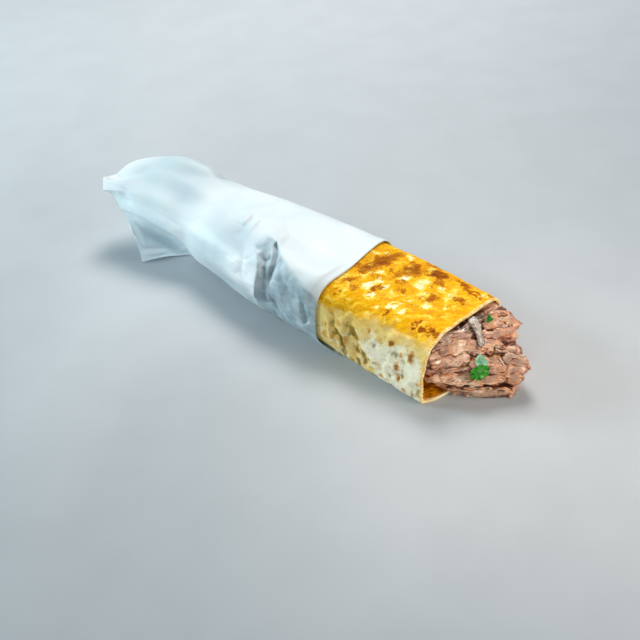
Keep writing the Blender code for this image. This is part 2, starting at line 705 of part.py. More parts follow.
def build_leaf(row, look):
    """Thin wavy leaf with a lobed edge, its two faces split alike."""
    name, middle, facing, length, width, lobes, turn = row
    facing = Vector(facing).normalized()
    first = facing.cross(Vector((0.0, 0.0, 1.0))).normalized()
    second = facing.cross(first)
    turn = math.radians(turn)
    sheet = [(0.0, 0.0)]
    for share in (0.5, 1.0):
        for k in range(LEAF_POINTS):
            angle = 2 * math.pi * k / LEAF_POINTS
            reach = 0.80 + 0.20 * math.cos(lobes * angle) * share
            sheet.append((share * reach * length / 2 * math.cos(angle),
                          share * reach * width / 2 * math.sin(angle)))
    points = []
    for side in (0.5, -0.5):
        for u, v in sheet:
            a = u * math.cos(turn) - v * math.sin(turn)
            b = u * math.sin(turn) + v * math.cos(turn)
            rise = 0.05 * length * math.sin(5.0 * u / length + 3.0 * v / width) + LEAF_THICK * side
            points.append(Vector(middle) + first * a + second * b + facing * rise)
    faces = []
    count = len(sheet)
    for offset, flip in ((0, False), (count, True)):
        for k in range(LEAF_POINTS):
            after = (k + 1) % LEAF_POINTS
            inner, inner_next = offset + 1 + k, offset + 1 + after
            outer, outer_next = inner + LEAF_POINTS, inner_next + LEAF_POINTS
            for face in ((offset, inner, inner_next), (inner, outer, outer_next), (inner, outer_next, inner_next)):
                faces.append(face[::-1] if flip else face)
    rim = 1 + LEAF_POINTS
    for k in range(LEAF_POINTS):
        a, b = rim + k, rim + (k + 1) % LEAF_POINTS
        faces.append((a, a + count, b + count))
        faces.append((a, b + count, b))
    return mesh_object(name, points, faces, look)


def place_parts(things, group):
    """Hang every part on one empty that brings the middle of the whole over the origin."""
    corners = np.array([v.co for thing in things for v in thing.data.vertices])
    low, high = corners.min(axis=0), corners.max(axis=0)
    base = bpy.data.objects.new("wrap_base", None)
    base.location = (-(low[0] + high[0]) / 2, -(low[1] + high[1]) / 2, -low[2])
    group.objects.link(base)
    for thing in things:
        thing.parent = base


def main():
    for thing in list(bpy.data.objects):
        bpy.data.objects.remove(thing)
    group = bpy.data.collections.new("beef_wrap")
    bpy.context.scene.collection.children.link(group)
    bread = build_flatbread(material("griddled_bread", (0.85, 0.55, 0.20), 0.6))
    paper = build_paper(material("white_paper", (0.86, 0.90, 0.92), 0.55))
    onion = build_onion(material("grilled_onion", (0.45, 0.40, 0.34), 0.45))
    green = material("parsley", (0.10, 0.35, 0.06), 0.5)
    leaves = [build_leaf(row, green) for row in LEAVES]
    for thing in [bread, paper, onion] + leaves:
        group.objects.link(thing)
    beef = build_beef(material("sliced_beef", (0.36, 0.18, 0.12), 0.5), group)
    place_parts([bread, paper, onion, beef] + leaves, group)


main()
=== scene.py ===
"""Looks of the beef wrap: griddled flatbread, crumpled paper wrapper, sliced beef, onion and parsley.

Tables are in millimetres in the wrap's own directions: x along the roll with 0 at the open end of
the bread, y across it away from the camera, and z up from the ground.
"""
import math

import bpy
import bmesh
import numpy as np
from mathutils import Euler, Matrix, Vector
from mathutils.bvhtree import BVHTree
from mathutils.geometry import delaunay_2d_cdt


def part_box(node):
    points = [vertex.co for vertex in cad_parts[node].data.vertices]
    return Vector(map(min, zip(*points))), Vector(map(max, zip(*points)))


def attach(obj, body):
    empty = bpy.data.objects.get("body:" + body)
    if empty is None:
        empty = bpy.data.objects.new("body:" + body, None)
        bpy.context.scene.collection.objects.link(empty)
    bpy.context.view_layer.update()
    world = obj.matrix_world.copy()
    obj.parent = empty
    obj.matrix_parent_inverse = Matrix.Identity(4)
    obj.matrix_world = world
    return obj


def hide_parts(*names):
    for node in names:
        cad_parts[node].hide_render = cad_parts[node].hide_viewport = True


bl_info = {
    "name": "Beef wrap looks",
    "version": (1, 0, 0),
    "blender": (4, 5, 0),
    "location": "View3D > Sidebar > Beef wrap",
    "description": "Dresses the packed beef wrap in bread, paper, meat, onion and leaves",
    "category": "Object",
}

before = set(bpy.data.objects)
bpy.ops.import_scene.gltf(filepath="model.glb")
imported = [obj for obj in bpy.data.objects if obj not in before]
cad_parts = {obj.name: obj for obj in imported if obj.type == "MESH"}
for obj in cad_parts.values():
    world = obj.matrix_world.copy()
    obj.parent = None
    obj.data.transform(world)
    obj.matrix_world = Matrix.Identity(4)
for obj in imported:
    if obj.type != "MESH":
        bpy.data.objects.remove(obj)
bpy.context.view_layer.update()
MM = 0.001

# Driving sizes, the same as the solids'
MOUTH_X = 0.0
BREAD_END_X = -206.0
PAPER_EDGE_X = -77.5
PAPER_TUBE_END_X = -200.0
BREAD_WALL = 1.8
PAPER_WALL = 0.5
NODE_GAP = 0.3
BARE_FROM_X = -72.0
# Rounding of a closed end: how far back from the end a ring lies, and how far in.
END_ROUND = ((10.0, 0.0), (5.0, 1.6), (1.5, 5.0), (0.0, 11.0))
# Places along the roll of the plain rings that the paper covers.
HIDDEN_X = (-172.0, -146.0, -122.0, -98.0)

# Sections of the bread along the roll: x, then (y, z) of the near foot, near shoulder, far shoulder
# and far foot of the section, then how far each of those corners is rounded.
SECTIONS = (
    (12, -2.6, 0.0, 6.6, 36.8, 71.6, 31.6, 70.0, 0.0, 4, 18, 13, 10),
    (0, -2.4, 0.0, 6.4, 36.9, 71.6, 32.2, 70.0, 0.0, 4, 18, 13, 10),
    (-28, -1.6, 0.0, 5.4, 37.2, 72.2, 34.6, 70.5, 0.0, 6, 18, 13, 11),
    (-46, -0.9, 0.1, 4.2, 37.3, 72.5, 36.0, 70.8, 0.1, 7, 17, 13, 12),
    (-60, -0.2, 0.8, 3.5, 37.3, 72.6, 36.8, 70.7, 0.8, 8, 17, 13, 12),
    (-76, 0.6, 0.8, 2.6, 37.4, 72.2, 37.4, 70.6, 0.8, 9, 16, 13, 12),
    (-100, 1.4, 0.8, 2.4, 37.8, 72.2, 38.4, 70.4, 0.8, 10, 15, 14, 13),
    (-122, 1.4, 0.8, 3.0, 38.0, 71.8, 39.2, 70.0, 0.8, 12, 18, 15, 13),
    (-146, 1.4, 0.8, 4.2, 38.2, 71.2, 39.8, 69.0, 0.8, 16, 24, 16, 14),
    (-172, 5.0, 0.8, 7.0, 38.2, 69.8, 39.6, 67.8, 0.8, 19, 25, 16, 15),
    (-200, 8.6, 0.8, 10.4, 37.6, 67.6, 38.6, 66.0, 0.8, 21, 25, 16, 16),
    (-214, 10.6, 0.8, 12.0, 37.0, 66.0, 37.4, 64.0, 0.8, 21, 25, 16, 16),
)

# Hem that closes the wrapped end of the paper, from the tail on the ground up to the tip.
HEM = ((-236, -7, 0.3), (-238.8, -4.6, 6), (-254.6, 1.8, 18.2), (-266.6, 4, 28), (-273.5, 3.8, 36.3),
       (-277.5, 0.5, 38), (-288, 9, 42.0))

# From the wrap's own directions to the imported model's
OFFSET = np.array((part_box("flatbread")[0].x / MM - BREAD_END_X,
                   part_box("paper_wrapper")[0].y / MM - HEM[0][1], 0.0))


# Noise: cells before it repeats, shift between seeds and between layers, factor to reach -1 to 1

NOISE_CELLS = 256
SEED_STEP = 7.31
LAYER_SEED = 3.7
NOISE_GAIN = 1.7


def unit(vectors):
    """Vectors made 1 long."""
    return vectors / np.linalg.norm(vectors, axis=-1, keepdims=True)


SHUFFLE = np.random.default_rng(11).permutation(NOISE_CELLS)
SLOPES = unit(np.random.default_rng(12).normal(size=(NOISE_CELLS, 3)))


def noise_at(points, size, seed=0.0):
    """Smooth noise from about -1 to 1 at points, with bumps of one size, which may differ by axis."""
    place = np.asarray(points, dtype=float) / np.asarray(size) + seed * SEED_STEP
    cell = np.floor(place).astype(int)
    part = place - cell
    ease = part ** 3 * (part * (part * 6 - 15) + 10)
    last = NOISE_CELLS - 1
    total = np.zeros(place.shape[:-1])
    for corner in np.ndindex(2, 2, 2):
        at = (cell + corner) & last
        pick = SHUFFLE[(SHUFFLE[(SHUFFLE[at[..., 0]] + at[..., 1]) & last] + at[..., 2]) & last]
        rise = np.sum(SLOPES[pick] * (part - corner), axis=-1)
        total += rise * np.prod(np.where(corner, ease, 1.0 - ease), axis=-1)
    return total * NOISE_GAIN


def noise_along(places, size, seed=0.0):
    """Smooth noise at places along a line."""
    return noise_at(np.stack((places, places * 0, places * 0), axis=-1), size, seed)


def noise_sum(points, parts, seed=0.0):
    """Sum of noises, each given as its height, size and seed."""
    return sum(tall * noise_at(points, size, seed + own) for tall, size, own in parts)


def clouds_at(points, size, seed=0.0, layers=3):
    """Noise with finer noise on it."""
    total = np.zeros(np.shape(points)[:-1])
    for k in range(layers):
        total += noise_at(points, np.asarray(size) / 2 ** k, seed + LAYER_SEED * k) / 2 ** k
    return total


def facets_at(points, size, seed=0.0):
    """Noise of flat facets that meet at straight creases."""
    bend = 0.45 * noise_at(points, size * 1.6, seed)
    total = np.zeros(np.shape(points)[:-1])
    for k in range(3):
        turn = seed + 2.2 * k
        ahead = (points[..., 0] * math.cos(turn) + points[..., 1] * math.sin(turn)
                 + points[..., 2] * math.sin(turn * 1.7) * 0.6) / (size * (1.0 + 0.3 * k)) + bend + 0.37 * k
        total += 4.0 * np.abs(ahead - np.floor(ahead) - 0.5) - 1.0
    return total / 3.0


def bump(distance, width):
    """1 at no distance and a smooth fall to 0 over about twice the width."""
    return np.exp(-(distance / width) ** 2)


def ease_between(value, low, high):
    """0 below low, 1 above high and a smooth rise between them."""
    t = np.clip((value - low) / (high - low), 0.0, 1.0)
    return t * t * (3.0 - 2.0 * t)


# Surface of the roll: how a corner's rounding grows with the section, the least rounding, the part
# of a side that a corner may take, and the steps in half a corner

ROUND_GROWTH = 1.17
LEAST_ROUND = 0.8
SIDE_SHARE = 0.48
HALF_ARC = 8


def smooth_rows(table, at):
    """Values of a table's rows at a place between them, on a smooth curve through the rows."""
    rows = np.array(sorted(table), dtype=float)
    keys = rows[:, 0]
    slopes = np.gradient(rows[:, 1:], keys, axis=0)
    at = min(max(at, keys[0]), keys[-1])
    i = min(int(np.searchsorted(keys, at, side="right")) - 1, len(keys) - 2)
    span = keys[i + 1] - keys[i]
    t = (at - keys[i]) / span
    a, b = rows[i, 1:], rows[i + 1, 1:]
    return ((2 * t ** 3 - 3 * t ** 2 + 1) * a + (t ** 3 - 2 * t ** 2 + t) * span * slopes[i]
            + (3 * t ** 2 - 2 * t ** 3) * b + (t ** 3 - t ** 2) * span * slopes[i + 1])


def turn_angles(count):
    """Evenly spaced angles of one full turn."""
    return np.linspace(0.0, 2 * math.pi, count, endpoint=False)


def moved_out(corners, grow):
    """Corners of a four-sided section whose sides are all moved outward by one distance."""
    count = len(corners)
    middle = corners.mean(axis=0)
    lines = []
    for i in range(count):
        a, b = corners[i], corners[(i + 1) % count]
        along = unit(b - a)
        normal = np.array((along[1], -along[0]))
        if np.dot(normal, (a + b) / 2 - middle) < 0:
            normal = -normal
        lines.append((normal, np.dot(normal, a) + grow))
    result = []
    for i in range(count):
        (n1, c1), (n2, c2) = lines[i - 1], lines[i]
        result.append(np.linalg.solve(np.array((n1, n2)), np.array((c1, c2))))
    return np.array(result)


def resampled(points, steps, closed=True):
    """Points spaced evenly along a line, without the last one if the line is closed."""
    points = np.array(points, dtype=float)
    lengths = np.concatenate(([0.0], np.cumsum(np.linalg.norm(np.diff(points, axis=0), axis=1))))
    at = np.linspace(0.0, lengths[-1], steps, endpoint=not closed)
    return np.stack([np.interp(at, lengths, points[:, k]) for k in range(points.shape[1])], axis=1)


def section_ring(x, grow, steps):
    """Rounded four-sided section of the roll at x, moved outward by grow: (y, z) points."""
    values = smooth_rows(SECTIONS, x)
    corners = moved_out(values[:8].reshape(4, 2), grow)
    rounds = np.maximum(values[8:] + ROUND_GROWTH * grow, LEAST_ROUND)
    arcs = []
    for i in range(4):
        corner = corners[i]
        before = corners[i - 1] - corner
        after = corners[(i + 1) % 4] - corner
        reach_in = min(rounds[i], SIDE_SHARE * np.linalg.norm(before))
        reach_out = min(rounds[i], SIDE_SHARE * np.linalg.norm(after))
        start = corner + unit(before) * reach_in
        end = corner + unit(after) * reach_out
        arcs.append([(1 - t) ** 2 * start + 2 * t * (1 - t) * corner + t * t * end
                     for t in np.linspace(0.0, 1.0, 2 * HALF_ARC + 1)])
    return np.concatenate([resampled(arcs[i][HALF_ARC:] + arcs[(i + 1) % 4][:HALF_ARC + 1], steps[i])
                           for i in range(4)])


def side_positions(steps):
    """Place of each column round the section: 0 to 1 near side, to 2 top, to 3 far side, to 4 bottom."""
    return np.concatenate([i + np.arange(n) / n for i, n in enumerate(steps)])


class Roll:
    """Surface of the roll at one distance outside the bread, for any x and column."""

    STEP = 2.0

    def __init__(self, grow, steps):
        self.first = SECTIONS[-1][0]
        self.count = int((SECTIONS[0][0] - self.first) / self.STEP) + 1
        self.rings = np.array([section_ring(self.first + self.STEP * k, grow, steps)
                               for k in range(self.count)])
        middle = self.rings.mean(axis=1, keepdims=True)
        outward = np.roll(self.rings, -1, axis=1) - np.roll(self.rings, 1, axis=1)
        outward = unit(np.stack((outward[..., 1], -outward[..., 0]), axis=-1))
        flip = np.sign(np.sum(outward * (self.rings - middle), axis=-1, keepdims=True))
        self.outward = outward * flip

    def points(self, xs, lift=0.0):
        """One ring with its own x for each column, raised from the surface by lift."""
        xs = np.asarray(xs, dtype=float)
        at = np.clip((xs - self.first) / self.STEP, 0, self.count - 1.001)
        low = at.astype(int)
        part = (at - low)[:, None]
        column = np.arange(len(xs))
        place = self.rings[low, column] * (1 - part) + self.rings[low + 1, column] * part
        normal = self.outward[low, column] * (1 - part) + self.outward[low + 1, column] * part
        place = place + normal * np.reshape(lift, (-1, 1))
        return np.column_stack((xs, place))


def end_rings(x_end, grow, steps):
    """Rings that close the roll with a rounded end at x_end, from the tube to the tip."""
    rings = []
    for back, inset in END_ROUND:
        ring = section_ring(x_end + back, grow - inset, steps)
        rings.append(np.column_stack((np.full(len(ring), x_end + back), ring)))
    return rings


def near_place(places, middle):
    """Distance round the section from each place to the middle, across the seam at 0 and 4."""
    away = np.abs(np.asarray(places) - middle)
    return np.minimum(away, 4.0 - away)


# Meshes

def grid_normals(rings):
    """Outward directions of a closed tube of rings."""
    around = np.roll(rings, -1, axis=1) - np.roll(rings, 1, axis=1)
    along = np.gradient(rings, axis=0)
    normal = np.cross(around, along)
    normal /= np.maximum(np.linalg.norm(normal, axis=-1, keepdims=True), 1e-9)
    centre = rings.mean(axis=1, keepdims=True)
    if np.sum(normal * (rings - centre)) < 0:
        normal = -normal
    return normal


def tube_faces(rows, count, start=0):
    """Faces of a closed tube of rings, all wound one way, with a flat face over each end."""
    k, j = np.meshgrid(np.arange(rows - 1), np.arange(count), indexing="ij")
    a = start + (k * count + j).ravel()
    b = start + (k * count + (j + 1) % count).ravel()
    faces = np.stack((a, b, b + count, a + count), axis=1).tolist()
    faces.append(list(range(start + count - 1, start - 1, -1)))
    last = start + (rows - 1) * count
    faces.append(list(range(last, last + count)))
    return faces


def tube_volume(rings):
    """Volume of a closed tube of rings, below zero where its faces look inward."""
    rings = rings - rings.mean(axis=(0, 1))
    ahead = np.roll(rings, -1, axis=1)
    total = np.sum(rings[:-1] * np.cross(ahead[:-1], ahead[1:]))
    total += np.sum(rings[:-1] * np.cross(ahead[1:], rings[1:]))
    for ring, way in ((rings[0], -1.0), (rings[-1], 1.0)):
        total += way * np.sum(ring[0] * np.cross(ring[1:-1], ring[2:]))
    return total / 6.0


def added(name, data):
    """New object in the scene."""
    thing = bpy.data.objects.new(name, data)
    bpy.context.scene.collection.objects.link(thing)
    return thing


def make_piece(name, points, faces, look, node, values=None, turned=False):
    """Closed mesh object from millimetre points, which stands for a node and rides on the wrap."""
    mesh = bpy.data.meshes.new(name)
    placed = (np.asarray(points) + OFFSET) * MM
    mesh.from_pydata(placed.tolist(), [], faces)
    for label, numbers in (values or {}).items():
        numbers = np.asarray(numbers, dtype=float)
        kind = "FLOAT" if numbers.ndim == 1 else "FLOAT_VECTOR"
        store = mesh.attributes.new(label, kind, "POINT")
        store.data.foreach_set("value" if numbers.ndim == 1 else "vector", numbers.ravel())
    shape = bmesh.new()
    shape.from_mesh(mesh)
    if not turned:
        bmesh.ops.recalc_face_normals(shape, faces=shape.faces)
    if shape.calc_volume(signed=True) < 0:
        bmesh.ops.reverse_faces(shape, faces=shape.faces)
    shape.to_mesh(mesh)
    shape.free()
    mesh.polygons.foreach_set("use_smooth", [True] * len(mesh.polygons))
    mesh.materials.append(look)
    piece = added(name, mesh)
    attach(piece, "root")
    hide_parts(node)
    return piece


# Materials

class Num:
    """A number that varies over a surface, for ordinary arithmetic in a material."""

    def __init__(self, look, socket):
        self.look = look
        self.socket = socket

    def math(self, operation, *values):
        return self.look.math(operation, *values)

    def __add__(self, other):
        return self.math("ADD", self, other)

    __radd__ = __add__

    def __sub__(self, other):
        return self.math("SUBTRACT", self, other)

    def __rsub__(self, other):
        return self.math("SUBTRACT", other, self)

    def __mul__(self, other):
        return self.math("MULTIPLY", self, other)

    __rmul__ = __mul__

    def between(self, low, high, start=0.0, end=1.0):
        """start below low, end above high and a smooth change between them."""
        return Num(self.look, self.look.node(
            "ShaderNodeMapRange", {"interpolation_type": "SMOOTHSTEP"},
            {0: self, 1: low, 2: high, 3: start, 4: end}).outputs[0])


class Look:
    """One node material and the means to build it."""

    def __init__(self, name, **constants):
        self.material = bpy.data.materials.new(name)
        self.material.use_nodes = True
        self.tree = self.material.node_tree
        self.shader = self.tree.nodes["Principled BSDF"]
        for label, value in constants.items():
            self.shader.inputs[label.replace("_", " ")].default_value = value

    def node(self, kind, options=None, inputs=None):
        """Adds a node of one kind, with its options first and then its sockets' values or links."""
        made = self.tree.nodes.new(kind)
        for label, value in (options or {}).items():
            setattr(made, label, value)
        for key, value in (inputs or {}).items():
            socket = made.inputs[key]
            if isinstance(value, Num):
                value = value.socket
            if isinstance(value, bpy.types.NodeSocket):
                self.tree.links.new(value, socket)
            else:
                socket.default_value = value
        return made

    def math(self, operation, *values):
        made = self.node("ShaderNodeMath", {"operation": operation}, dict(enumerate(values)))
        return Num(self, made.outputs[0])

    def stored(self, name):
        """A number kept on the mesh's points."""
        made = self.node("ShaderNodeAttribute", {"attribute_name": name})
        return Num(self, made.outputs["Fac"])

    def stored_vector(self, name):
        return self.node("ShaderNodeAttribute", {"attribute_name": name}).outputs["Vector"]

    def place(self, stretch=(1.0, 1.0, 1.0), source=None):
        """Position on the object, or a stored vector, stretched by axis."""
        if source is None:
            source = self.node("ShaderNodeTexCoord").outputs["Object"]
        made = self.node("ShaderNodeVectorMath", {"operation": "MULTIPLY"}, {0: source, 1: stretch})
        return made.outputs[0]

    def clouds(self, size_mm, detail=4.0, rough=0.55, place=None, twist=0.0):
        """Noise from 0 to 1 with bumps of about one size."""
        made = self.node("ShaderNodeTexNoise", {"noise_dimensions": "3D"},
                         {"Vector": place or self.place(), "Scale": 1.0 / (size_mm * MM),
                          "Detail": detail, "Roughness": rough, "Distortion": twist})
        return Num(self, made.outputs["Fac"])

    def blend(self, factor, first, second):
        """Colour that goes from first to second as factor goes from 0 to 1."""
        made = self.node("ShaderNodeMix", {"data_type": "RGBA", "clamp_factor": True},
                         {0: factor, 6: self.colour(first), 7: self.colour(second)})
        return made.outputs[2]

    def layered(self, colour, *covers):
        """Colour under others, each given as how far it covers from 0 to 1, and the colour."""
        for factor, over in covers:
            colour = self.blend(factor, colour, over)
        return colour

    @staticmethod
    def colour(value):
        return value if isinstance(value, bpy.types.NodeSocket) else (*value[:3], 1.0)

    def ridge(self, height, distance_mm, strength=1.0):
        """Fine relief on the surface from a number that varies over it."""
        made = self.node("ShaderNodeBump", None, {"Height": height, "Distance": distance_mm * MM,
                                                  "Strength": strength})
        self.tree.links.new(made.outputs[0], self.shader.inputs["Normal"])

    def feed(self, **links):
        for label, value in links.items():
            socket = value.socket if isinstance(value, Num) else value
            self.tree.links.new(socket, self.shader.inputs[label.replace("_", " ")])


def tone(red, green, blue):
    """Colour from 0 to 255 values as they look on a screen."""
    result = []
    for part in (red, green, blue):
        part /= 255.0
        result.append(part / 12.92 if part <= 0.04045 else ((part + 0.055) / 1.055) ** 2.4)
    return tuple(result)


class WrapSettings(bpy.types.PropertyGroup):
    """Colours and sizes of the wrap that a user may change."""

    bread_golden: bpy.props.FloatVectorProperty(
        name="Griddled bread", description="Colour of the bread where it lay on the griddle",
        default=tone(238, 182, 4), size=3, subtype="COLOR", min=0.0, max=1.0)
    bread_cream: bpy.props.FloatVectorProperty(
        name="Pale bread", description="Colour of the bread's side that met no griddle",
        default=tone(254, 249, 226), size=3, subtype="COLOR", min=0.0, max=1.0)
    bread_char: bpy.props.FloatVectorProperty(
        name="Griddle marks", description="Colour of the brown marks on the bread",
        default=tone(178, 90, 2), size=3, subtype="COLOR", min=0.0, max=1.0)
    bread_waves: bpy.props.FloatProperty(
        name="Bread waves", description="Height of the fine waves of the bread",
        default=0.00030, min=0.0, max=0.001, subtype="DISTANCE", unit="LENGTH")
    paper_colour: bpy.props.FloatVectorProperty(
        name="Paper", description="Colour of the paper wrapper",
        default=tone(210, 221, 226), size=3, subtype="COLOR", min=0.0, max=1.0)
    paper_crumple: bpy.props.FloatProperty(
        name="Crumple height", description="Height of the small creases of the paper",
        default=0.0006, min=0.0, max=0.002, subtype="DISTANCE", unit="LENGTH")
    beef_fibre: bpy.props.FloatProperty(
        name="Fibre height", description="Height of the fibres along a slice of beef",
        default=0.00036, min=0.0, max=0.001, subtype="DISTANCE", unit="LENGTH")
    leaf_green: bpy.props.FloatVectorProperty(
        name="Parsley", description="Colour of the parsley leaf",
        default=tone(10, 98, 8), size=3, subtype="COLOR", min=0.0, max=1.0)
    floor_colour: bpy.props.FloatVectorProperty(
        name="Floor", description="Colour of the floor under the wrap",
        default=tone(178, 183, 188), size=3, subtype="COLOR", min=0.0, max=1.0)


def settings():
    return bpy.context.scene.beef_wrap


# How steeply a soft fold falls, and how far past its ends a fold fades.
SOFT_FALL = 1.4
FOLD_FADE = 0.15


def fold_lift(xs, places, folds, soft=False):
    """Height of folds along their ridges, with straight or with rounded sides."""
    lift = np.zeros_like(xs)
    for ridge, tall, back, front in folds:
        top_s, low_s = ridge[0][1], ridge[-1][1]
        t = (top_s - places) / (top_s - low_s)
        down = np.array(sorted(ridge, key=lambda point: point[1]))
        away = xs - np.interp(places, down[:, 1], down[:, 0])
        share = np.abs(away) / np.where(away < 0, back, front)
        slope = np.exp(-SOFT_FALL * share ** 2) if soft else np.clip(1.0 - share, 0.0, 1.0)
        fade = np.sin(math.pi * np.clip((t + FOLD_FADE) / (1.0 + 2 * FOLD_FADE), 0.0, 1.0))
        lift += tall * slope * fade
    return lift


# Flatbread

# Columns on each side of the section, rings outside and inside, and how far in the inside shows as a
# share of the bare part.
BREAD_STEPS = (76, 116, 50, 44)
BREAD_ROWS = 135
INSIDE_ROWS = 26
INSIDE_SHARE = 0.75
# Rings over the rim: how far forward of the edge and how deep in the wall.
RIM_ROWS = ((-0.1, 0.35), (0.0, 0.9), (-0.1, 1.45))
# Length in mm of one side of the section, for places round it.
SIDE_MM = 36.0

# Blisters of the griddled bread: x, place round the section, width and height.
BLISTERS = (
    (-19, 0.42, 4.0, 0.9), (-6.5, 0.36, 4.0, 0.8), (-19, 0.22, 5.0, 0.8), (-34, 0.22, 4.5, 0.7),
    (-60, 0.12, 4.0, 0.9), (-45, 0.52, 5.0, 0.8), (-66, 0.55, 5.0, 0.6), (-3.5, 0.80, 4.0, 0.6),
    (-30, 1.10, 5.0, 0.6), (-46, 1.32, 5.0, 0.8), (-22, 1.45, 6.0, 0.6), (-58, 1.62, 6.0, 0.7),
    (-12, 1.66, 5.0, 0.6), (-36, 1.80, 6.0, 0.5), (-24, 2.40, 6.0, 0.6), (-52, 2.55, 6.0, 0.6),
)
# Creases and swells of the near side: points of x and place round the section from the upper end
# down, height, and width on the wrapped and on the open side.
SIDE_CREASES = (
    (((-59, 1.06), (-53.0, 0.78), (-45.0, 0.52), (-41, 0.34), (-36, 0.14)), -1.9, 9.0, 7.0),
    (((-53, 1.00), (-45, 0.66), (-38.5, 0.40), (-30, 0.14)), 2.0, 4.5, 9.0),
    (((-68, 0.94), (-64, 0.56), (-57.5, 0.20)), -1.4, 5.0, 3.4),
    (((-62, 0.88), (-56.5, 0.55), (-50.5, 0.26)), 1.6, 3.4, 3.2),
    (((-72, 0.70), (-67, 0.36), (-61, 0.10)), 1.4, 3.0, 3.0),
    (((-61, 0.42), (-53, 0.10)), -1.4, 3.0, 2.0),
    (((-55, 0.34), (-46, 0.06)), 1.2, 2.6, 3.0),
    (((-36, 0.70), (-31, 0.42)), -0.8, 3.4, 3.0),
    (((-30, 0.30), (-24, 0.10)), -1.0, 3.4, 2.4),
    (((-20, 0.36), (-12, 0.14)), -0.7, 3.0, 3.0),
)
# Direction of the fine wrinkles beside the creases, and how long and how far apart they are.
WRINKLE_WAY = (0.85, 0.52)
WRINKLE_SIZE = (12.0, 2.4)
# Swells of the near side, and what makes the marks ragged along and across the roll: the height or
# shift in mm, the size and the seed of each noise.
NEAR_SWELLS = ((1.1, 7.5, 6.0), (0.6, 3.4, 6.5))
RAGGED_ALONG = ((2.6, (3.4, 2.2, 3.0), 0.0), (1.3, (1.3, 1.0, 1.0), 1.0))
RAGGED_ACROSS = ((2.0, (3.6, 2.0, 3.0), 2.0), (1.1, (1.6, 0.9, 1.0), 3.0))

# Brown griddle marks: x, place round the section, half length along x, half width, strength.
BROWN_MARKS = (
    (-69, 1.67, 6.0, 4.5, 0.95), (-70.5, 1.49, 7.0, 2.4, 0.8), (-66, 1.84, 5.0, 3.0, 0.75),
    (-49, 1.75, 7.0, 4.0, 0.9), (-54.5, 1.60, 5.0, 1.6, 0.7), (-34.5, 1.84, 6.0, 2.6, 1.3),
    (-71, 1.29, 3.0, 2.2, 0.8), (-64.5, 1.23, 4.0, 1.8, 0.6), (-53, 1.30, 3.0, 3.0, 0.95),
    (-46, 1.52, 3.5, 2.0, 0.6), (-35.5, 1.11, 1.9, 1.3, 1.2), (-24, 1.49, 3.4, 3.0, 0.85),
    (-12.5, 1.64, 4.0, 1.8, 0.9), (-7, 1.82, 5.0, 1.0, 1.0), (-14.5, 1.84, 3.6, 1.2, 1.0),
    (-9.4, 1.10, 2.4, 1.2, 1.3), (-5.5, 1.12, 2.2, 1.2, 1.2), (-1.4, 1.13, 2.0, 1.2, 1.1),
    (-16.8, 1.08, 1.6, 1.0, 0.8), (-17, 1.15, 1.8, 1.0, 0.8), (-70.5, 1.07, 2.0, 1.4, 0.8),
    (-42, 1.42, 5.0, 1.4, 0.5), (-60, 1.46, 3.0, 1.4, 0.5), (-30, 1.72, 4.0, 2.0, 0.6),
    (-20, 1.90, 6.0, 1.6, 0.8), (-44, 1.94, 7.0, 2.0, 0.7), (-62, 2.05, 7.0, 3.0, 0.7),
    (-3, 1.93, 4.0, 0.8, 1.0), (-30, 1.30, 2.0, 1.0, 0.5), (-10, 1.34, 1.4, 1.0, 0.4),
    (-30, 2.35, 8.0, 4.0, 0.6), (-55, 2.60, 8.0, 5.0, 0.6), (-12, 2.60, 6.0, 4.0, 0.5),
    (-40, 3.30, 12.0, 8.0, 0.7), (-62, 3.60, 8.0, 6.0, 0.6), (-16, 3.55, 8.0, 6.0, 0.6),
)
# Brown blisters on the pale near side, in the same form.
SIDE_MARKS = (
    (-24.3, 0.76, 1.8, 1.5, 1.5), (-9.6, 0.69, 2.0, 3.4, 1.0), (-16.5, 0.66, 0.9, 2.0, 0.6),
    (-18.1, 0.43, 1.8, 2.6, 0.9), (-16.2, 0.23, 1.6, 1.6, 1.1), (-39.5, 0.80, 1.3, 1.6, 0.9),
    (-54.5, 0.41, 2.0, 3.6, 0.85), (-68.3, 0.84, 1.6, 3.4, 0.75), (-61, 0.69, 2.4, 2.0, 0.6),
    (-70.4, 0.52, 1.6, 2.4, 0.8), (-65.4, 0.33, 1.4, 2.0, 0.6), (-11, 0.10, 1.2, 1.2, 0.7),
    (-72, 0.30, 2.0, 3.0, 0.6), (-48, 0.66, 1.2, 1.2, 0.5), (-33, 0.30, 1.6, 1.0, 0.45),
    (-27, 0.12, 2.4, 1.0, 0.5), (-3, 0.30, 1.0, 2.0, 0.5),
)
# Cream patches that the griddle missed, in the same form.
CREAM_PATCHES = (
    (-59.4, 1.31, 3.4, 2.6, 1.0), (-51.8, 1.21, 3.0, 1.6, 1.0), (-50.0, 1.36, 1.6, 2.0, 0.7),
    (-56.3, 1.41, 4.0, 1.4, 0.8), (-47.5, 1.61, 2.6, 1.8, 1.0), (-35.2, 1.19, 2.8, 1.6, 1.1),
    (-28.6, 1.18, 2.2, 1.5, 1.0), (-21.5, 1.37, 3.0, 2.2, 0.8), (-36.6, 1.62, 5.0, 3.4, 0.75),
    (-13, 1.47, 2.0, 1.6, 0.8), (-62, 1.54, 4.6, 1.2, 0.8), (-71, 1.59, 3.0, 1.0, 0.6),
    (-30, 1.50, 4.0, 2.0, 0.6), (-24, 1.66, 3.4, 1.6, 0.5), (-67, 1.40, 3.0, 1.4, 0.6),
    (-41, 1.28, 3.0, 1.2, 0.4), (-8, 1.38, 2.4, 2.0, 0.4), (-60, 1.90, 4.0, 1.6, 0.6),
    (-14, 1.25, 2.0, 1.2, 0.3), (-33, 1.38, 2.4, 1.2, 0.4),
)
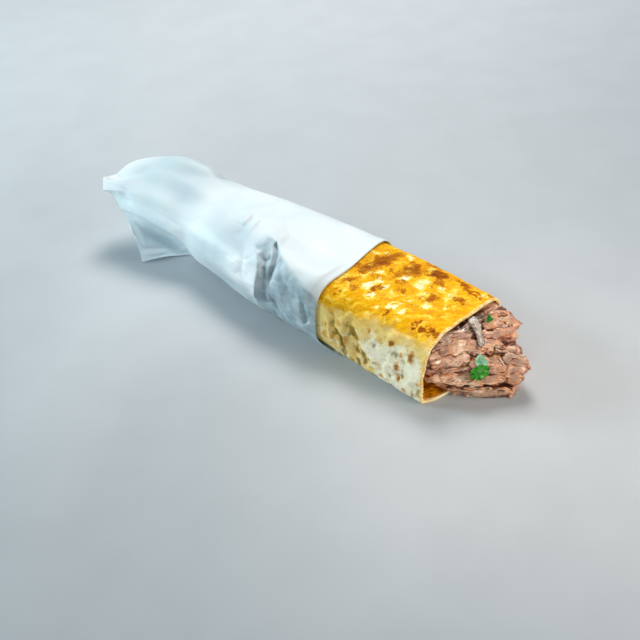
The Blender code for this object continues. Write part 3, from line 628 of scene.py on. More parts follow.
# Colours of the bread, with olive and dark brown for the painted shade in its hollows.
BREAD_TONES = {
    "flour": tone(238, 229, 196), "hollow_shade": tone(172, 152, 92), "deep": tone(112, 88, 38),
    "yellow": tone(244, 206, 98), "mark": tone(218, 162, 72), "mark_middle": tone(140, 76, 24),
    "griddled": tone(226, 150, 2), "light": tone(244, 204, 66), "missed": tone(247, 214, 84),
    "cream": tone(252, 242, 196), "amber": tone(226, 136, 2), "charred": tone(98, 40, 4),
    "dot": tone(128, 62, 6), "soaked": tone(138, 70, 2), "inside": tone(226, 146, 8),
    "crumb": tone(232, 184, 84), "pale_crumb": tone(250, 236, 190),
}
# Direction and stretch of the streaks that the griddle leaves.
STREAK_TURN = math.radians(40.0)
STREAK_STRETCH = (2.2, 1.0, 1.0)
# Edge between the golden top and the pale near side: x and place round the section.
GOLDEN_EDGE = ((-80, 0.90), (-60, 0.93), (-46, 0.97), (-28, 1.04), (-14, 1.05), (0, 1.03))


def unrolled(xs, places):
    """Points on the roll's surface laid out flat, in mm."""
    return np.stack((xs, places * SIDE_MM, np.zeros_like(xs)), axis=-1)


def mouth_edge(places):
    """x of the bread's open edge round the section, with the torn lip on the floor side."""
    places = np.asarray(places)
    lip = 7.6 * bump(near_place(places, 3.72), 0.22)
    tear = 0.7 * np.sin(23.0 * places) * bump(near_place(places, 3.80), 0.3)
    ragged = 0.5 * noise_along(places * 30.0, 2.2, 5.0)
    ragged *= 0.35 + 1.2 * bump(near_place(places, 3.72), 0.3)
    return MOUTH_X + lip + tear + ragged


def bread_relief(xs, places):
    """Height of the bread's blisters, waves and side creases where it is out of the paper."""
    xs, places = np.asarray(xs, dtype=float), np.asarray(places, dtype=float)
    around = places * SIDE_MM
    flat = unrolled(xs, places)
    bare = np.clip((xs - BARE_FROM_X) / 6.0, 0.0, 1.0)
    near = (1.0 - ease_between(places, 0.92, 1.10)) * np.clip(5.0 * places + 0.2, 0.0, 1.0)
    lift = 0.25 * noise_at(flat, 9.0, 3.0)
    lift += settings().bread_waves / MM * clouds_at(flat, 3.2, 4.0)
    for bx, bs, width, tall in BLISTERS:
        lift += tall * bump(np.hypot(xs - bx, (places - bs) * SIDE_MM), width)
    lift += near * noise_sum(flat, NEAR_SWELLS)
    lift += near * fold_lift(xs, places, SIDE_CREASES, soft=True)
    across, along = WRINKLE_WAY
    turned = np.stack((xs * along - around * across, xs * across + around * along, around * 0), axis=-1)
    behind = 1.0 - ease_between(xs + 24.0 * places, -34.0, -24.0)
    lift += near * behind * 0.7 * noise_at(turned, (*WRINKLE_SIZE, 1.0), 7.0)
    for bx, bs, wx, ws, strength in SIDE_MARKS:
        ring = np.hypot((xs - bx) / wx, (places - bs) * SIDE_MM / ws)
        lift += 0.25 * strength * bump(ring, 1.2)
    lift *= np.clip((2.95 - places) * 8.0, 0.0, 1.0)
    return np.maximum(lift, -2.5) * bare


def mark_field(xs, places, marks, seed, ragged=1.0):
    """Sum of patches on the bread, more or less ragged."""
    flat = unrolled(xs, places)
    xs = xs + ragged * noise_sum(flat, RAGGED_ALONG, seed)
    places = places + ragged * noise_sum(flat, RAGGED_ACROSS, seed) / SIDE_MM
    field = np.zeros_like(xs)
    for mx, ms, half_x, half_s, strength in marks:
        away = near_place(places, ms) * SIDE_MM
        field += strength * np.exp(-np.hypot((xs - mx) / half_x, away / half_s) ** 3)
    return field


def bread_look():
    choice, tones = settings(), BREAD_TONES
    look = Look("griddled_bread", Roughness=0.6, Subsurface_Weight=0.06, Subsurface_Scale=0.0015,
                Specular_IOR_Level=0.04)
    golden, brown, cream = look.stored("golden"), look.stored("brown"), look.stored("cream")
    inner, rim, hollow_shade = look.stored("inner"), look.stored("rim"), look.stored("hollow_shade")
    burnt, yellow = look.stored("burnt"), look.stored("yellow")
    streaks = look.node("ShaderNodeMapping", {"vector_type": "TEXTURE"}, {
        "Vector": look.place(), "Rotation": (0.0, 0.0, STREAK_TURN), "Scale": STREAK_STRETCH}).outputs[0]
    wide = look.clouds(6.0, 4.0, 0.6, place=streaks)
    middle = look.clouds(2.2, 4.0, 0.6, place=streaks, twist=0.4)
    fine = look.clouds(0.9, 3.0, 0.6)
    speck = look.clouds(0.7, 2.0, 0.5)
    uneven, grainy = middle - 0.5, fine - 0.5
    edge = (golden + uneven * 0.5).between(0.10, 1.0)
    flour = look.layered(
        tones["flour"],
        ((wide * 0.5 + fine * 0.5).between(0.36, 0.54), tuple(choice.bread_cream)),
        # painted shade: olive and dark brown in the hollows and creases of the near side
        (hollow_shade.between(0.25, 0.95) * 0.80, tones["hollow_shade"]),
        ((yellow + uneven * 1.1).between(0.25, 0.95) * 0.80, tones["yellow"]),
        (hollow_shade.between(0.60, 1.15) * 0.70, tones["deep"]),
        ((burnt + uneven * 0.9 + grainy * 0.5).between(0.15, 0.55) * 0.75, tones["mark"]),
        ((burnt + uneven * 0.7 + grainy * 0.7).between(0.72, 1.15) * 0.8, tones["mark_middle"]))
    top = look.layered(
        tones["griddled"],
        ((middle * 0.6 + fine * 0.4).between(0.38, 0.58), tuple(choice.bread_golden)),
        ((wide * 0.45 + middle * 0.55).between(0.48, 0.62) * 0.85, tones["light"]))
    pale = cream + uneven * 1.2 + grainy * 0.5
    grain = uneven * 2.8 + grainy * 2.4
    toast = brown * 0.62 + grain * (brown * 0.75 + 0.30) + (wide - 0.5) * 0.7 - pale * 0.25
    dots = (brown + edge * 0.25) * 0.4 + speck
    inside = look.blend((middle + grainy * 0.6).between(0.40, 0.60), tones["soaked"], tones["inside"])
    crumb = look.blend((fine * 0.5 + middle * 0.5).between(0.42, 0.58), tones["crumb"], tones["pale_crumb"])
    colour = look.layered(
        flour, (edge, top),
        (pale.between(0.20, 0.48) * 0.8, tones["missed"]),
        (pale.between(0.55, 0.85) * 0.95, tones["cream"]),
        (toast.between(0.14, 0.42) * 0.85, tones["amber"]),
        (toast.between(0.50, 0.74) * 0.80, tuple(choice.bread_char)),
        (toast.between(0.86, 1.10) * 0.85, tones["charred"]),
        (dots.between(0.76, 0.86) * 0.7, tones["dot"]),
        (inner, inside), (rim, crumb))
    look.feed(Base_Color=colour,
              Roughness=0.64 - toast.between(0.2, 1.0) * 0.14 + grainy * 0.2 - inner * 0.2)
    look.ridge(middle * 0.5 + fine * 0.35 + wide * 0.4 + toast.between(0.4, 1.2) * 0.3, 0.45, 0.9)
    return look.material


def bread_values(xs, places, inner, rim):
    """What the bread's material needs to know at each point."""
    flat = unrolled(xs, places)
    edge_x, edge_s = np.array(GOLDEN_EDGE).T
    line = np.interp(xs, edge_x, edge_s) + 0.09 * clouds_at(flat, (9.0, 4.0, 4.0), 14.0)
    golden = ease_between(places - line, -0.22, 0.06) * (1.0 - ease_between(places, 2.25, 2.5))
    brown = mark_field(xs, places, BROWN_MARKS, 20.0)
    burnt = 1.25 * mark_field(xs, places, SIDE_MARKS, 24.0, 0.3) * (1.0 - golden)
    brown += 0.30 * np.maximum(clouds_at(flat, (6.0, 3.0, 4.0), 8.0), 0.0) * golden
    burnt += 0.6 * np.maximum(clouds_at(flat, (3.0, 4.0, 4.0), 8.5) - 0.25, 0.0) * (1.0 - golden)
    cream = mark_field(xs, places, CREAM_PATCHES, 30.0, 0.7)
    bend = 3.0 * np.stack([noise_at(flat, 9.0, 40.0 + k) for k in range(3)], axis=-1)
    cream += 0.65 * ease_between(clouds_at(flat + bend, (8.0, 3.6, 4.0), 9.0, 2), 0.15, 0.75) * golden
    fold = 1.0 - ease_between(xs + 24.0 * places + 6.0 * noise_at(flat, 8.0, 44.0), -42.0, -16.0)
    yellow = 0.75 * fold + 1.3 * bump(places - line + 0.12, 0.18) + 0.6 * bump(xs - MOUTH_X, 3.5)
    yellow += 0.35 * clouds_at(flat, 6.0, 15.0)
    relief = bread_relief(xs, places)
    # Painted shade in hollows: more where the relief dips, on the wrapped side and in random patches, less
    # by the golden edge.
    hollow_shade = np.clip(0.22 - 0.50 * relief + 0.75 * clouds_at(flat, (4.0, 6.0, 5.0), 16.0), 0.0, 1.2)
    hollow_shade = (hollow_shade + 0.22 * fold) * (1.0 - 0.8 * bump(places - line + 0.06, 0.16))
    return {"golden": golden, "brown": brown, "cream": cream, "inner": inner, "rim": rim,
            "yellow": yellow, "hollow_shade": hollow_shade, "burnt": burnt}


def build_bread():
    steps = BREAD_STEPS
    places = side_positions(steps)
    edge = mouth_edge(places)
    count = len(places)
    skin, inside = Roll(0.0, steps), Roll(-BREAD_WALL, steps)
    rings = list(reversed(end_rings(BREAD_END_X, 0.0, steps)))
    tags = [(0.0, 0.0)] * len(rings)
    covered_x, rim_x = BARE_FROM_X - 4.0, edge - 0.5
    for x in HIDDEN_X + (covered_x,):
        rings.append(skin.points(np.full(count, x)))
        tags.append((0.0, 0.0))
    for t in np.linspace(0.0, 1.0, BREAD_ROWS + 1)[1:]:
        xs = covered_x + (rim_x - covered_x) * t
        rings.append(skin.points(xs, bread_relief(xs, places)))
        tags.append((0.0, float(ease_between(t, 0.985, 1.0))))
    for x_more, deep in RIM_ROWS:
        xs = edge + x_more
        rings.append(skin.points(xs, bread_relief(xs, places) - deep))
        tags.append((0.0, 1.0))
    for t in np.linspace(0.0, 1.0, INSIDE_ROWS) ** 1.5:
        xs = rim_x + (BARE_FROM_X - edge) * INSIDE_SHARE * t
        deeper = float(ease_between(t, 0.05, 0.25))
        rings.append(inside.points(xs, bread_relief(xs, places) * 0.9 * (1.0 - deeper) - 1.4 * deeper))
        tags.append((1.0, float(1.0 - ease_between(t, 0.0, 0.03))))
    for x in (BARE_FROM_X,) + HIDDEN_X[::-1]:
        rings.append(inside.points(np.full(count, x)))
        tags.append((1.0, 0.0))
    last = end_rings(BREAD_END_X + BREAD_WALL, -BREAD_WALL, steps)
    rings += last
    tags += [(1.0, 0.0)] * len(last)
    rings = np.array(rings)
    rings[..., 2] = np.maximum(rings[..., 2], 0.0)
    points = rings.reshape(-1, 3)
    floor_lip = 1.0 - 0.8 * bump(near_place(places, 3.6), 0.4)
    rim = np.repeat([t[1] for t in tags], count) * np.tile(floor_lip, len(rings))
    inner = np.repeat([t[0] for t in tags], count)
    values = bread_values(points[:, 0], np.tile(places, len(rings)), inner, rim)
    faces = tube_faces(len(rings), count)
    make_piece("bread_roll", points, faces, bread_look(), "flatbread", values)


# Paper wrapper

# Columns on each side of the section, and rings of the tube and of the wrapped end.
PAPER_STEPS = (88, 116, 44, 40)
TUBE_ROWS = 170
END_ROWS = 110
# Rings from the inside out to the open edge: how far in they are, and their part of its curl.
EDGE_ROWS = ((0.45, 0.1), (0.3, 0.3), (0.2, 0.5), (0.12, 0.7), (0.05, 0.88), (0.0, 1.0))
# Colours of the paper. The first is its own; the rest are painted light: shade on the folded end past the
# bread, a highlight on the bright slope, the shaded creases, and shade in dips and in sharp bends.
PAPER_TONES = {
    "even": tone(219, 229, 234), "empty": tone(182, 200, 207), "lit": tone(250, 253, 254),
    "shade": tone(122, 156, 170), "dip_shade": tone(146, 172, 182), "crease_shade": tone(205, 220, 226),
}

# Folds of the paper: the ridge as points of x and place round the section from its upper end down,
# its height, then how far it runs out towards the wrapped end and towards the mouth. The last two
# are small pleats above the main ridge.
FOLDS = (
    (((-104, 2.60), (-128, 2.10)), 1.2, 5.0, 5.0),
    (((-150, 2.75), (-168, 2.15)), 1.4, 6.0, 5.0),
    (((-185, 2.70), (-176, 2.20)), 1.2, 5.0, 5.0),
    (((-166.5, 1.47), (-159.5, 1.18)), 1.2, 5.0, 2.2),
    (((-157.0, 1.42), (-149.5, 1.18)), 1.1, 5.0, 2.0),
)
# Lines of the creased sheet on the near side and the top: x, place round the section and height.
# The sheet is flat between the lines.
SHEET_LINES = (
    # outer bounds
    ((-214, 2.0, 0.5), (-190, 2.0, 0.6), (-160, 1.95, 0.7), (-130, 1.9, 0.8), (-100, 1.95, 0.5),
     (-60, 1.9, 0.4)),
    ((-214, 0.0, 0.5), (-180, 0.0, 0.6), (-150, 0.0, 0.9), (-124, 0.0, 0.9), (-100, 0.0, 0.6),
     (-60, 0.0, 0.4)),
    ((-60, 1.2, 0.4), (-60, 0.6, 0.4)),
    ((-214, 1.4, 0.5), (-214, 0.7, 0.8)),
    # edge between the bright top and the near side
    ((-173.5, 1.26, 1.0), (-158, 1.28, 1.6), (-146.5, 1.31, 2.6), (-136, 1.27, 3.8), (-127.5, 1.25, 4.4),
     (-119.5, 1.17, 4.4), (-115, 1.13, 4.4), (-107, 1.09, 4.4), (-99, 1.06, 4.2), (-91.5, 1.03, 4.0),
     (-86, 1.02, 3.7), (-81, 0.97, 3.0), (-77.5, 0.90, 1.6)),
    # main ridge, and the bright slope on its wrapped side
    ((-147.5, 1.17, 2.6), (-139, 1.10, 4.0), (-130.5, 1.04, 5.4), (-125.7, 1.00, 6.2), (-122.6, 0.89, 6.4),
     (-122.6, 0.70, 6.0), (-125.6, 0.44, 4.8), (-126, 0.29, 2.6)),
    ((-151, 1.10, 1.6), (-143.5, 1.00, 1.8), (-141, 0.90, 1.9), (-139, 0.72, 2.4)),
    # facets beside the main ridge
    ((-130, 1.09, 3.4), (-124, 1.11, 2.6)),
    ((-125.5, 1.03, 1.6), (-123.5, 1.05, 1.2), (-122, 1.08, 1.0)),
    ((-123, 0.99, 3.0), (-118.5, 0.81, 2.9), (-119, 0.61, 2.6)),
    # deep slot below the edge
    ((-127.5, 1.19, 3.2), (-121.5, 1.09, 3.0), (-118.5, 1.03, 2.9), (-117, 0.88, 2.4)),
    ((-126, 1.215, 0.8), (-120, 1.125, 0.3), (-116.5, 1.05, 0.3), (-115.5, 0.90, 0.6)),
    ((-113, 1.09, 2.6), (-111, 1.03, 2.4), (-111.5, 0.89, 2.2)),
    # small facets lower down
    ((-114, 0.76, 2.8), (-103.5, 0.77, 3.2), (-98.5, 0.72, 2.2)),
    ((-102, 0.91, 1.2), (-98, 0.82, 0.9)),
    ((-99, 0.97, 3.0), (-92.5, 0.90, 3.2), (-89, 0.81, 2.6)),
    ((-122.5, 0.57, 2.8), (-121, 0.35, 2.2)),
    ((-119.2, 0.57, 1.6), (-118.5, 0.42, 0.8)),
    ((-115.5, 0.65, 2.4), (-114, 0.50, 2.2)),
    ((-112.5, 0.50, 0.8), (-110, 0.38, 0.4), (-107, 0.25, 0.4)),
    ((-108, 0.65, 2.6), (-103.5, 0.57, 2.8), (-101, 0.38, 2.0)),
    # dart beside the open edge
    ((-89, 0.74, 2.2), (-88, 0.57, 2.8), (-87, 0.32, 2.0)),
    ((-87, 0.73, 0.8), (-86.5, 0.55, 0.2), (-85, 0.39, 0.3)),
    ((-84, 0.77, 1.8), (-81.5, 0.66, 1.8), (-80, 0.47, 1.2)),
    # band below which the paper turns under
    ((-197.5, 0.53, 1.0), (-178, 0.58, 2.2), (-162.5, 0.59, 3.0), (-146.5, 0.60, 3.8), (-135.5, 0.58, 4.2),
     (-129.5, 0.51, 4.0)),
    ((-183, 0.31, 0.5), (-166, 0.28, 0.5), (-149, 0.29, 0.5), (-137.5, 0.24, 0.8)),
    # swell of the wrapped side
    ((-204, 1.08, 0.8), (-182.5, 1.08, 1.4), (-162.5, 1.03, 1.6)),
    ((-197, 0.92, 1.0), (-177, 0.89, 1.6), (-157, 0.82, 2.2), (-143.5, 0.80, 2.4)),
    # pleats above the main ridge, and soft dips of the top
    ((-165, 1.43, 0.8), (-163, 1.33, 0.8)), ((-170, 1.43, 1.4), (-167.5, 1.31, 1.2)),
    ((-160, 1.24, 0.8), (-158.5, 1.17, 0.9)),
    ((-159, 1.61, 0.2), (-148.5, 1.66, 0.1), (-146, 1.78, 0.3)),
    ((-151, 1.52, 1.2), (-141.5, 1.57, 1.2), (-139, 1.71, 1.0)),
    ((-128.5, 1.43, 1.0), (-102, 1.42, 0.7), (-82.5, 1.47, 0.6)),
)

# How the paper runs from the tube to the hem, at places round the section: the two handles of the
# curve that it follows, and where on the hem it ends.
END_RUNS = (
    (0.00, -213, 23, 0.3, -229, 14, 0.3, 0.00),
    (0.28, -214, 20, 10, -238, 22, 12, 0.28),
    (0.60, -216, 5.0, 26, -246, 1.5, 32, 0.62),
    (0.95, -226, 10, 40, -262, 7, 43, 0.80),
    (1.45, -236, 34, 54, -277, 21, 39.5, 1.00),
    (2.00, -247, 66, 53, -303, 50, 43, 0.90),
    (2.50, -240, 68, 21, -276, 38, 24, 0.50),
    (3.00, -226, 62, 0.6, -256, 24, 3, 0.18),
    (3.50, -212, 38, 0.3, -234, 16, 0.3, 0.04),
)
# Creases of the wrapped end: points of the line, height and width.
END_CREASES = (
    # lower edge of the body over the tail
    (((-264, 3.8, 30), (-248, 4, 32), (-234, 3.8, 31), (-222, 5, 29), (-204, 7, 25)), 3.0, 5.5),
    (((-252, 8, 20), (-244, 9.6, 16), (-231, 15.3, 9.9), (-216, 16.7, 5)), -4.8, 7.5),
    (((-248, 7, 25), (-236, 9, 22), (-222, 12, 16)), -2.4, 4.0),
    (((-274, 9, 40), (-268, 12, 36), (-262, 9, 38)), -0.7, 3.0),
    # dents and pleats by the spout
    (((-264, 9, 43), (-259, 5, 39), (-254, 4, 34)), -1.2, 4.5),
    (((-284, 14, 44), (-276, 20, 47), (-268, 26, 49)), -4.2, 9.5),
    (((-277, 7, 41), (-266, 9, 43), (-254, 12, 45)), 0.8, 2.6),
    # folded edge of the tail
    (((-238, -5, 4.2), (-230, 6, 3.2), (-219, 15, 2.6)), -2.2, 1.7),
    (((-240, -4, 7.2), (-232, 7, 6.0), (-221, 15, 5.0)), 1.3, 2.4),
    (((-236, -6, 2), (-250, 0, 16), (-262, 2, 27)), -0.6, 2.0),
    (((-243, 2, 10), (-249, 4, 20)), 0.8, 3.0),
    # soft dips along the top
    (((-258, 18, 46), (-244, 22, 47), (-228, 24, 45), (-208, 20, 40)), -2.4, 13.0),
    (((-196, 66, 38), (-205, 64, 41), (-214, 61, 43)), -5.2, 11.0),
    (((-252, 46, 51), (-240, 52, 50), (-229, 56, 48)), 2.3, 13.0),
)
# Width in mm from which a crease is rounded.
ROUNDED_FROM = 7.0
# Dents and swells of the wrapped end: middle, reach and rise.
END_DENTS = (
    ((-288, 19.5, 42.5), 8.0, -3.0),
    ((-251, 56, 46), 15.0, 2.0),
    ((-220, 64, 39), 9.0, -2.2),
)
PAPER_CURL = 1.6
# Rings on each side of the bend between the tube and the wrapped end, and passes that round it.
JOIN_REACH = 14
JOIN_PASSES = 36


def paper_edge(places):
    """x of the paper's open edge round the section."""
    places = np.asarray(places)
    lip = 13.0 * bump(near_place(places, 3.97), 0.13)
    back = 4.0 * bump(places - 1.9, 0.35)
    return PAPER_EDGE_X + lip - back + 0.8 * noise_along(places * 9.0, 4.0, 3.0)


def facets_of(lines):
    """Triangles of a sheet that is flat between its lines, on the unrolled surface."""
    spots = [(x, place * SIDE_MM, tall) for line in lines for x, place, tall in line]
    edges, first = [], 0
    for line in lines:
        edges += [(first + k, first + k + 1) for k in range(len(line) - 1)]
        first += len(line)
    places, _, faces, sources, _, _ = delaunay_2d_cdt([Vector(s[:2]) for s in spots], edges, [], 0, 1e-4)
    if any(not source for source in sources):
        raise ValueError("Two lines of the paper's sheet cross")
    heights = [spots[source[0]][2] for source in sources]
    return [[(*places[k], heights[k]) for k in face] for face in faces]


def sheet_lift(flat):
    """Height of the creased sheet at unrolled points."""
    wave = np.stack([noise_at(flat, 7.0, 60.0 + k) for k in range(2)], axis=-1)
    spot = flat[..., :2] + 0.25 * wave
    lift = np.full(flat.shape[:-1], 0.5)
    for (ax, ay, ah), (bx, by, bh), (cx, cy, ch) in SHEET_FACETS:
        area = (bx - ax) * (cy - ay) - (cx - ax) * (by - ay)
        u = ((spot[..., 0] - ax) * (cy - ay) - (cx - ax) * (spot[..., 1] - ay)) / area
        v = ((bx - ax) * (spot[..., 1] - ay) - (spot[..., 0] - ax) * (by - ay)) / area
        inside = (u >= 0) & (v >= 0) & (u + v <= 1)
        lift = np.where(inside, ah + u * (bh - ah) + v * (ch - ah), lift)
    return lift


SHEET_FACETS = facets_of(SHEET_LINES)

# Main ridge as place round the section and x, and the upper edge of the creased side as x and place.
RIDGE_LINE = ((0.0, -126.5), (0.29, -126.5), (0.44, -126.5), (0.70, -123.5), (0.89, -123.5), (1.00, -126.5),
              (1.04, -131.0), (1.10, -139.0), (1.17, -147.5))
CREASED_EDGE = ((-173.5, 1.26), (-146.5, 1.31), (-136, 1.27), (-127.5, 1.25), (-119.5, 1.17), (-107, 1.09),
                (-91.5, 1.03), (-81, 0.97), (-77.5, 0.90), (-70, 0.70))
# Where the shaded creases begin along the roll, where the soft shade low on the wrapped side begins
# and ends, and how far from the ridge the bright slope fades.
SHADE_FROM_X = (-141.0, -134.5)
LOW_SHADE_FROM = (140.0, 162.0)
LOW_SHADE_TO = (178.0, 198.0)
SLOPE_FADE = (22.0, 46.0)
# Soft band of shade above the ridge: x, place round the section, reach along and round the roll.
SHADE_BAND = (-156.0, 1.15, 15.0, 6.0)


def creased_side(xs, places, lift):
    """How far each point lies in the shaded creases, and on the bright slope beside the ridge."""
    ridge_s, ridge_x = np.array(RIDGE_LINE).T
    edge_x, edge_s = np.array(CREASED_EDGE).T
    flat = unrolled(xs, places)
    past = xs - np.interp(places, ridge_s, ridge_x)
    below = (np.interp(xs, edge_x, edge_s) - places) * SIDE_MM
    zone = ease_between(past, -0.2, 1.0) * ease_between(below, -0.3, 1.2) * (places < 2.0)
    zone *= ease_between(xs, *SHADE_FROM_X)
    patches = 0.34 * facets_at(flat, 9.0, 4.0) + 0.26 * facets_at(flat, 4.2, 8.0)
    shade = zone * np.clip(0.70 - 0.04 * lift + patches, 0.0, 1.0)
    away = 0.70 + 0.30 * ease_between(past, 3.0, 10.0) + 0.30 * ease_between(places, 0.9, 1.03)
    shade *= np.clip(away, 0.0, 1.0)
    band_x, band_s, reach_x, reach_s = SHADE_BAND
    shade += 0.30 * bump((places - band_s) * SIDE_MM, reach_s) * bump(xs - band_x, reach_x)
    low = ease_between(-xs, *LOW_SHADE_FROM) * (1.0 - ease_between(-xs, *LOW_SHADE_TO))
    shade += 0.20 * low * (1.0 - ease_between(places, 1.15, 1.5))
    slope = ease_between(-past, 0.2, 1.4) * (1.0 - ease_between(-past, *SLOPE_FADE))
    slope *= ease_between(places, 0.36, 0.56) * (1.0 - ease_between(places, 0.78, 1.0))
    return shade, slope


def paper_relief(xs, places):
    """Height of the folds and creases of the paper round the tube, never below the bread."""
    xs, places = np.asarray(xs, dtype=float), np.asarray(places, dtype=float)
    flat = unrolled(xs, places)
    crumple = settings().paper_crumple / MM
    lift = sheet_lift(flat) + 0.3 * noise_at(flat, 26.0, 7.0)
    lift += fold_lift(xs, places, FOLDS)
    side = 1.0 - ease_between(places, 0.9, 1.2)
    loose = ease_between(-xs, 132.0, 146.0)
    lift += crumple * facets_at(flat, 11.0, 2.0) * (0.15 + side * (0.5 - 0.3 * loose))
    lift += 0.4 * crumple * facets_at(flat, 5.0, 5.0) * (0.06 + 0.7 * side * (1.0 - 0.7 * loose))
    near_ground = np.clip(0.3 + 6.0 * places, 0.0, 1.0)
    return np.where(places < 3.02, np.maximum(lift, 0.0) * near_ground, 0.0)


def edge_curl(places):
    """How far the open edge of the paper stands off the bread."""
    return 0.25 + PAPER_CURL * bump(places - 0.10, 0.12) + 0.9 * bump(places - 1.98, 0.12)


def hem_points(part, layer):
    """Points on the hem: part of the way from the tail to the tip, on the near or the far layer."""
    line = np.array(HEM, dtype=float)
    lengths = np.concatenate(([0.0], np.cumsum(np.linalg.norm(np.diff(line, axis=0), axis=1))))
    at = np.asarray(part) * lengths[-1]
    place = np.stack([np.interp(at, lengths, line[:, k]) for k in range(3)], axis=-1)
    return place + np.array((0.50, -0.45, 0.60)) * np.asarray(layer)[:, None]


def line_distance(points, line):
    """Distance from each point to a line of straight stretches."""
    line = np.array(line, dtype=float)
    nearest = np.full(points.shape[:-1], 1e9)
    for a, b in zip(line, line[1:]):
        along = b - a
        t = np.clip(np.sum((points - a) * along, axis=-1) / np.dot(along, along), 0.0, 1.0)
        nearest = np.minimum(nearest, np.linalg.norm(points - a - t[..., None] * along, axis=-1))
    return nearest


def paper_end(tube, places, steps):
    """Rings of the folded end, which runs on from the tube and closes at the hem."""
    base = tube[-1]
    onward = base - tube[-8]
    onward = (np.roll(onward, 1, axis=0) + onward * 2 + np.roll(onward, -1, axis=0)) / 4
    onward = unit(onward)
    rows = [(r[0] + shift, *r[1:]) for shift in (-4.0, 0.0, 4.0) for r in END_RUNS]
    runs = np.array([smooth_rows(rows, s) for s in places])
    half = len(places) // 2
    layer = np.where(np.arange(len(places)) <= half, 0.45, -0.45)
    layer[[0, half]] = 0.0
    hem = hem_points(np.clip(runs[:, 6], 0.0, 1.0), layer)
    first = 0.75 * runs[:, 0:3] + 0.25 * base
    reach = np.linalg.norm(first - base, axis=1, keepdims=True)
    smooth = 0.15 + 0.65 * ease_between(places, 0.36, 0.55) * (1.0 - ease_between(places, 1.1, 1.5) * 0.7)
    smooth *= 1.0 - ease_between(places, 2.3, 2.7)
    first += (base + onward * reach - first) * smooth[:, None]
    middle = (runs[:, 0:3] + runs[:, 3:6]) / 2
    last = 0.75 * runs[:, 3:6] + 0.25 * hem
    rings = []
    for k in range(1, steps + 1):
        t = k / steps
        u = 1.0 - t
        rings.append(u ** 4 * base + 4 * t * u ** 3 * first + 6 * t * t * u * u * middle
                     + 4 * t ** 3 * u * last + t ** 4 * hem)
    return np.array(rings)


def dips_of(rings):
    """How far each point lies below the paper round it, in mm, for the painted shade in its dips."""
    smooth = rings
    for _ in range(24):
        smooth = (np.roll(smooth, 1, axis=1) + smooth * 2 + np.roll(smooth, -1, axis=1)) / 4
        inner = (smooth[:-2] + smooth[1:-1] * 2 + smooth[2:]) / 4
        smooth = np.concatenate((smooth[:1], inner, smooth[-1:]))
    return np.maximum(np.sum((smooth - rings) * grid_normals(smooth), axis=-1), 0.0).ravel()


def paper_look():
    choice, tones = settings(), PAPER_TONES
    look = Look("white_paper", Roughness=0.5, Subsurface_Weight=0.03, Subsurface_Scale=0.001,
                Specular_IOR_Level=0.28)
    wide = look.clouds(30.0, 3.0, 0.5)
    fine = look.clouds(0.5, 3.0, 0.6)
    grain = look.clouds(2.4, 4.0, 0.6)
    colour = look.layered(
        tuple(choice.paper_colour), (wide.between(0.40, 0.66), tones["even"]),
        # painted shade: darker and bluer on the folded end past the bread
        (look.stored("empty"), tones["empty"]), (look.stored("lit"), tones["lit"]),
        (look.stored("shade") * 0.80, tones["shade"]),
        # painted shade in the dips of the paper
        (look.stored("dip_shade").between(0.15, 1.0) * 0.40, tones["dip_shade"]),
        # painted shade: greyer and bluer where the paper bends sharply
        (look.stored("crease_shade").between(0.25, 0.9) * 0.30, tones["crease_shade"]))
    look.feed(Base_Color=colour, Roughness=0.40 + grain * 0.16 + (fine - 0.5) * 0.08)
    look.ridge(grain * 0.4 + fine * 0.3, 0.12, 0.35)
    return look.material


def creased_shade(tube, places, rows):
    """Shade and bright slope at every point of the paper, none on the folded end."""
    xs, around = tube[..., 0], np.broadcast_to(places, tube.shape[:2])
    shade, slope = creased_side(xs, around, paper_relief(xs, around))
    rest = np.zeros((rows - len(tube), len(places)))
    return [np.concatenate((part, rest)).ravel() for part in (shade, slope)]


def paper_tube(places, steps):
    """Rings of the paper from its closed end inside, out over the open edge and back along the tube."""
    count = len(places)
    edge, curl = paper_edge(places), edge_curl(places)
    inside, outside = Roll(NODE_GAP, steps), Roll(NODE_GAP + PAPER_WALL, steps)
    rings = list(reversed(end_rings(BREAD_END_X - NODE_GAP, NODE_GAP, steps)))
    rings += [inside.points(np.full(count, x)) for x in HIDDEN_X]
    for t, share in EDGE_ROWS:
        ring = inside.points(edge + (HIDDEN_X[-1] - edge) * t, curl * share)
        ring[:, 2] = np.maximum(ring[:, 2], PAPER_WALL)
        rings.append(ring)
    for t in np.linspace(0.0, 1.0, TUBE_ROWS):
        xs = edge + (PAPER_TUBE_END_X - edge) * t
        near_edge = max(0.0, 1.0 - t / 0.14)
        relief = paper_relief(xs, places) * min(1.0, 0.30 + t / 0.06)
        rings.append(outside.points(xs, np.maximum(relief, curl * near_edge)))
    return np.array(rings)


def creased_end(tube, places):
    """Rings of the wrapped end with its creases and dents."""
    end = paper_end(tube, places, END_ROWS)
    normal = grid_normals(np.concatenate((tube[-3:], end)))[3:]
    share = np.linspace(0.0, 1.0, len(end))[:, None]
    lift = 0.25 * facets_at(end, 16.0, 3.0)
    for line, tall, wide in END_CREASES:
        near_hem = np.clip((0.97 - share) / 0.16, 0.15, 1.0) if tall < 0 else 1.0
        slope = np.clip(1.0 - line_distance(end, line) / wide, 0.0, 1.0)
        if wide > ROUNDED_FROM:
            slope = slope * slope * (3.0 - 2.0 * slope)
        lift += tall * slope * near_hem
    fade = ease_between(share, 0.0, 0.24) * np.clip((1.0 - share) * 12.0, 0.0, 1.0)
    end = end + normal * (lift * fade)[..., None]
    for middle, reach, rise in END_DENTS:
        end[..., 2] += rise * bump(np.linalg.norm(end - middle, axis=-1), reach)
    return end


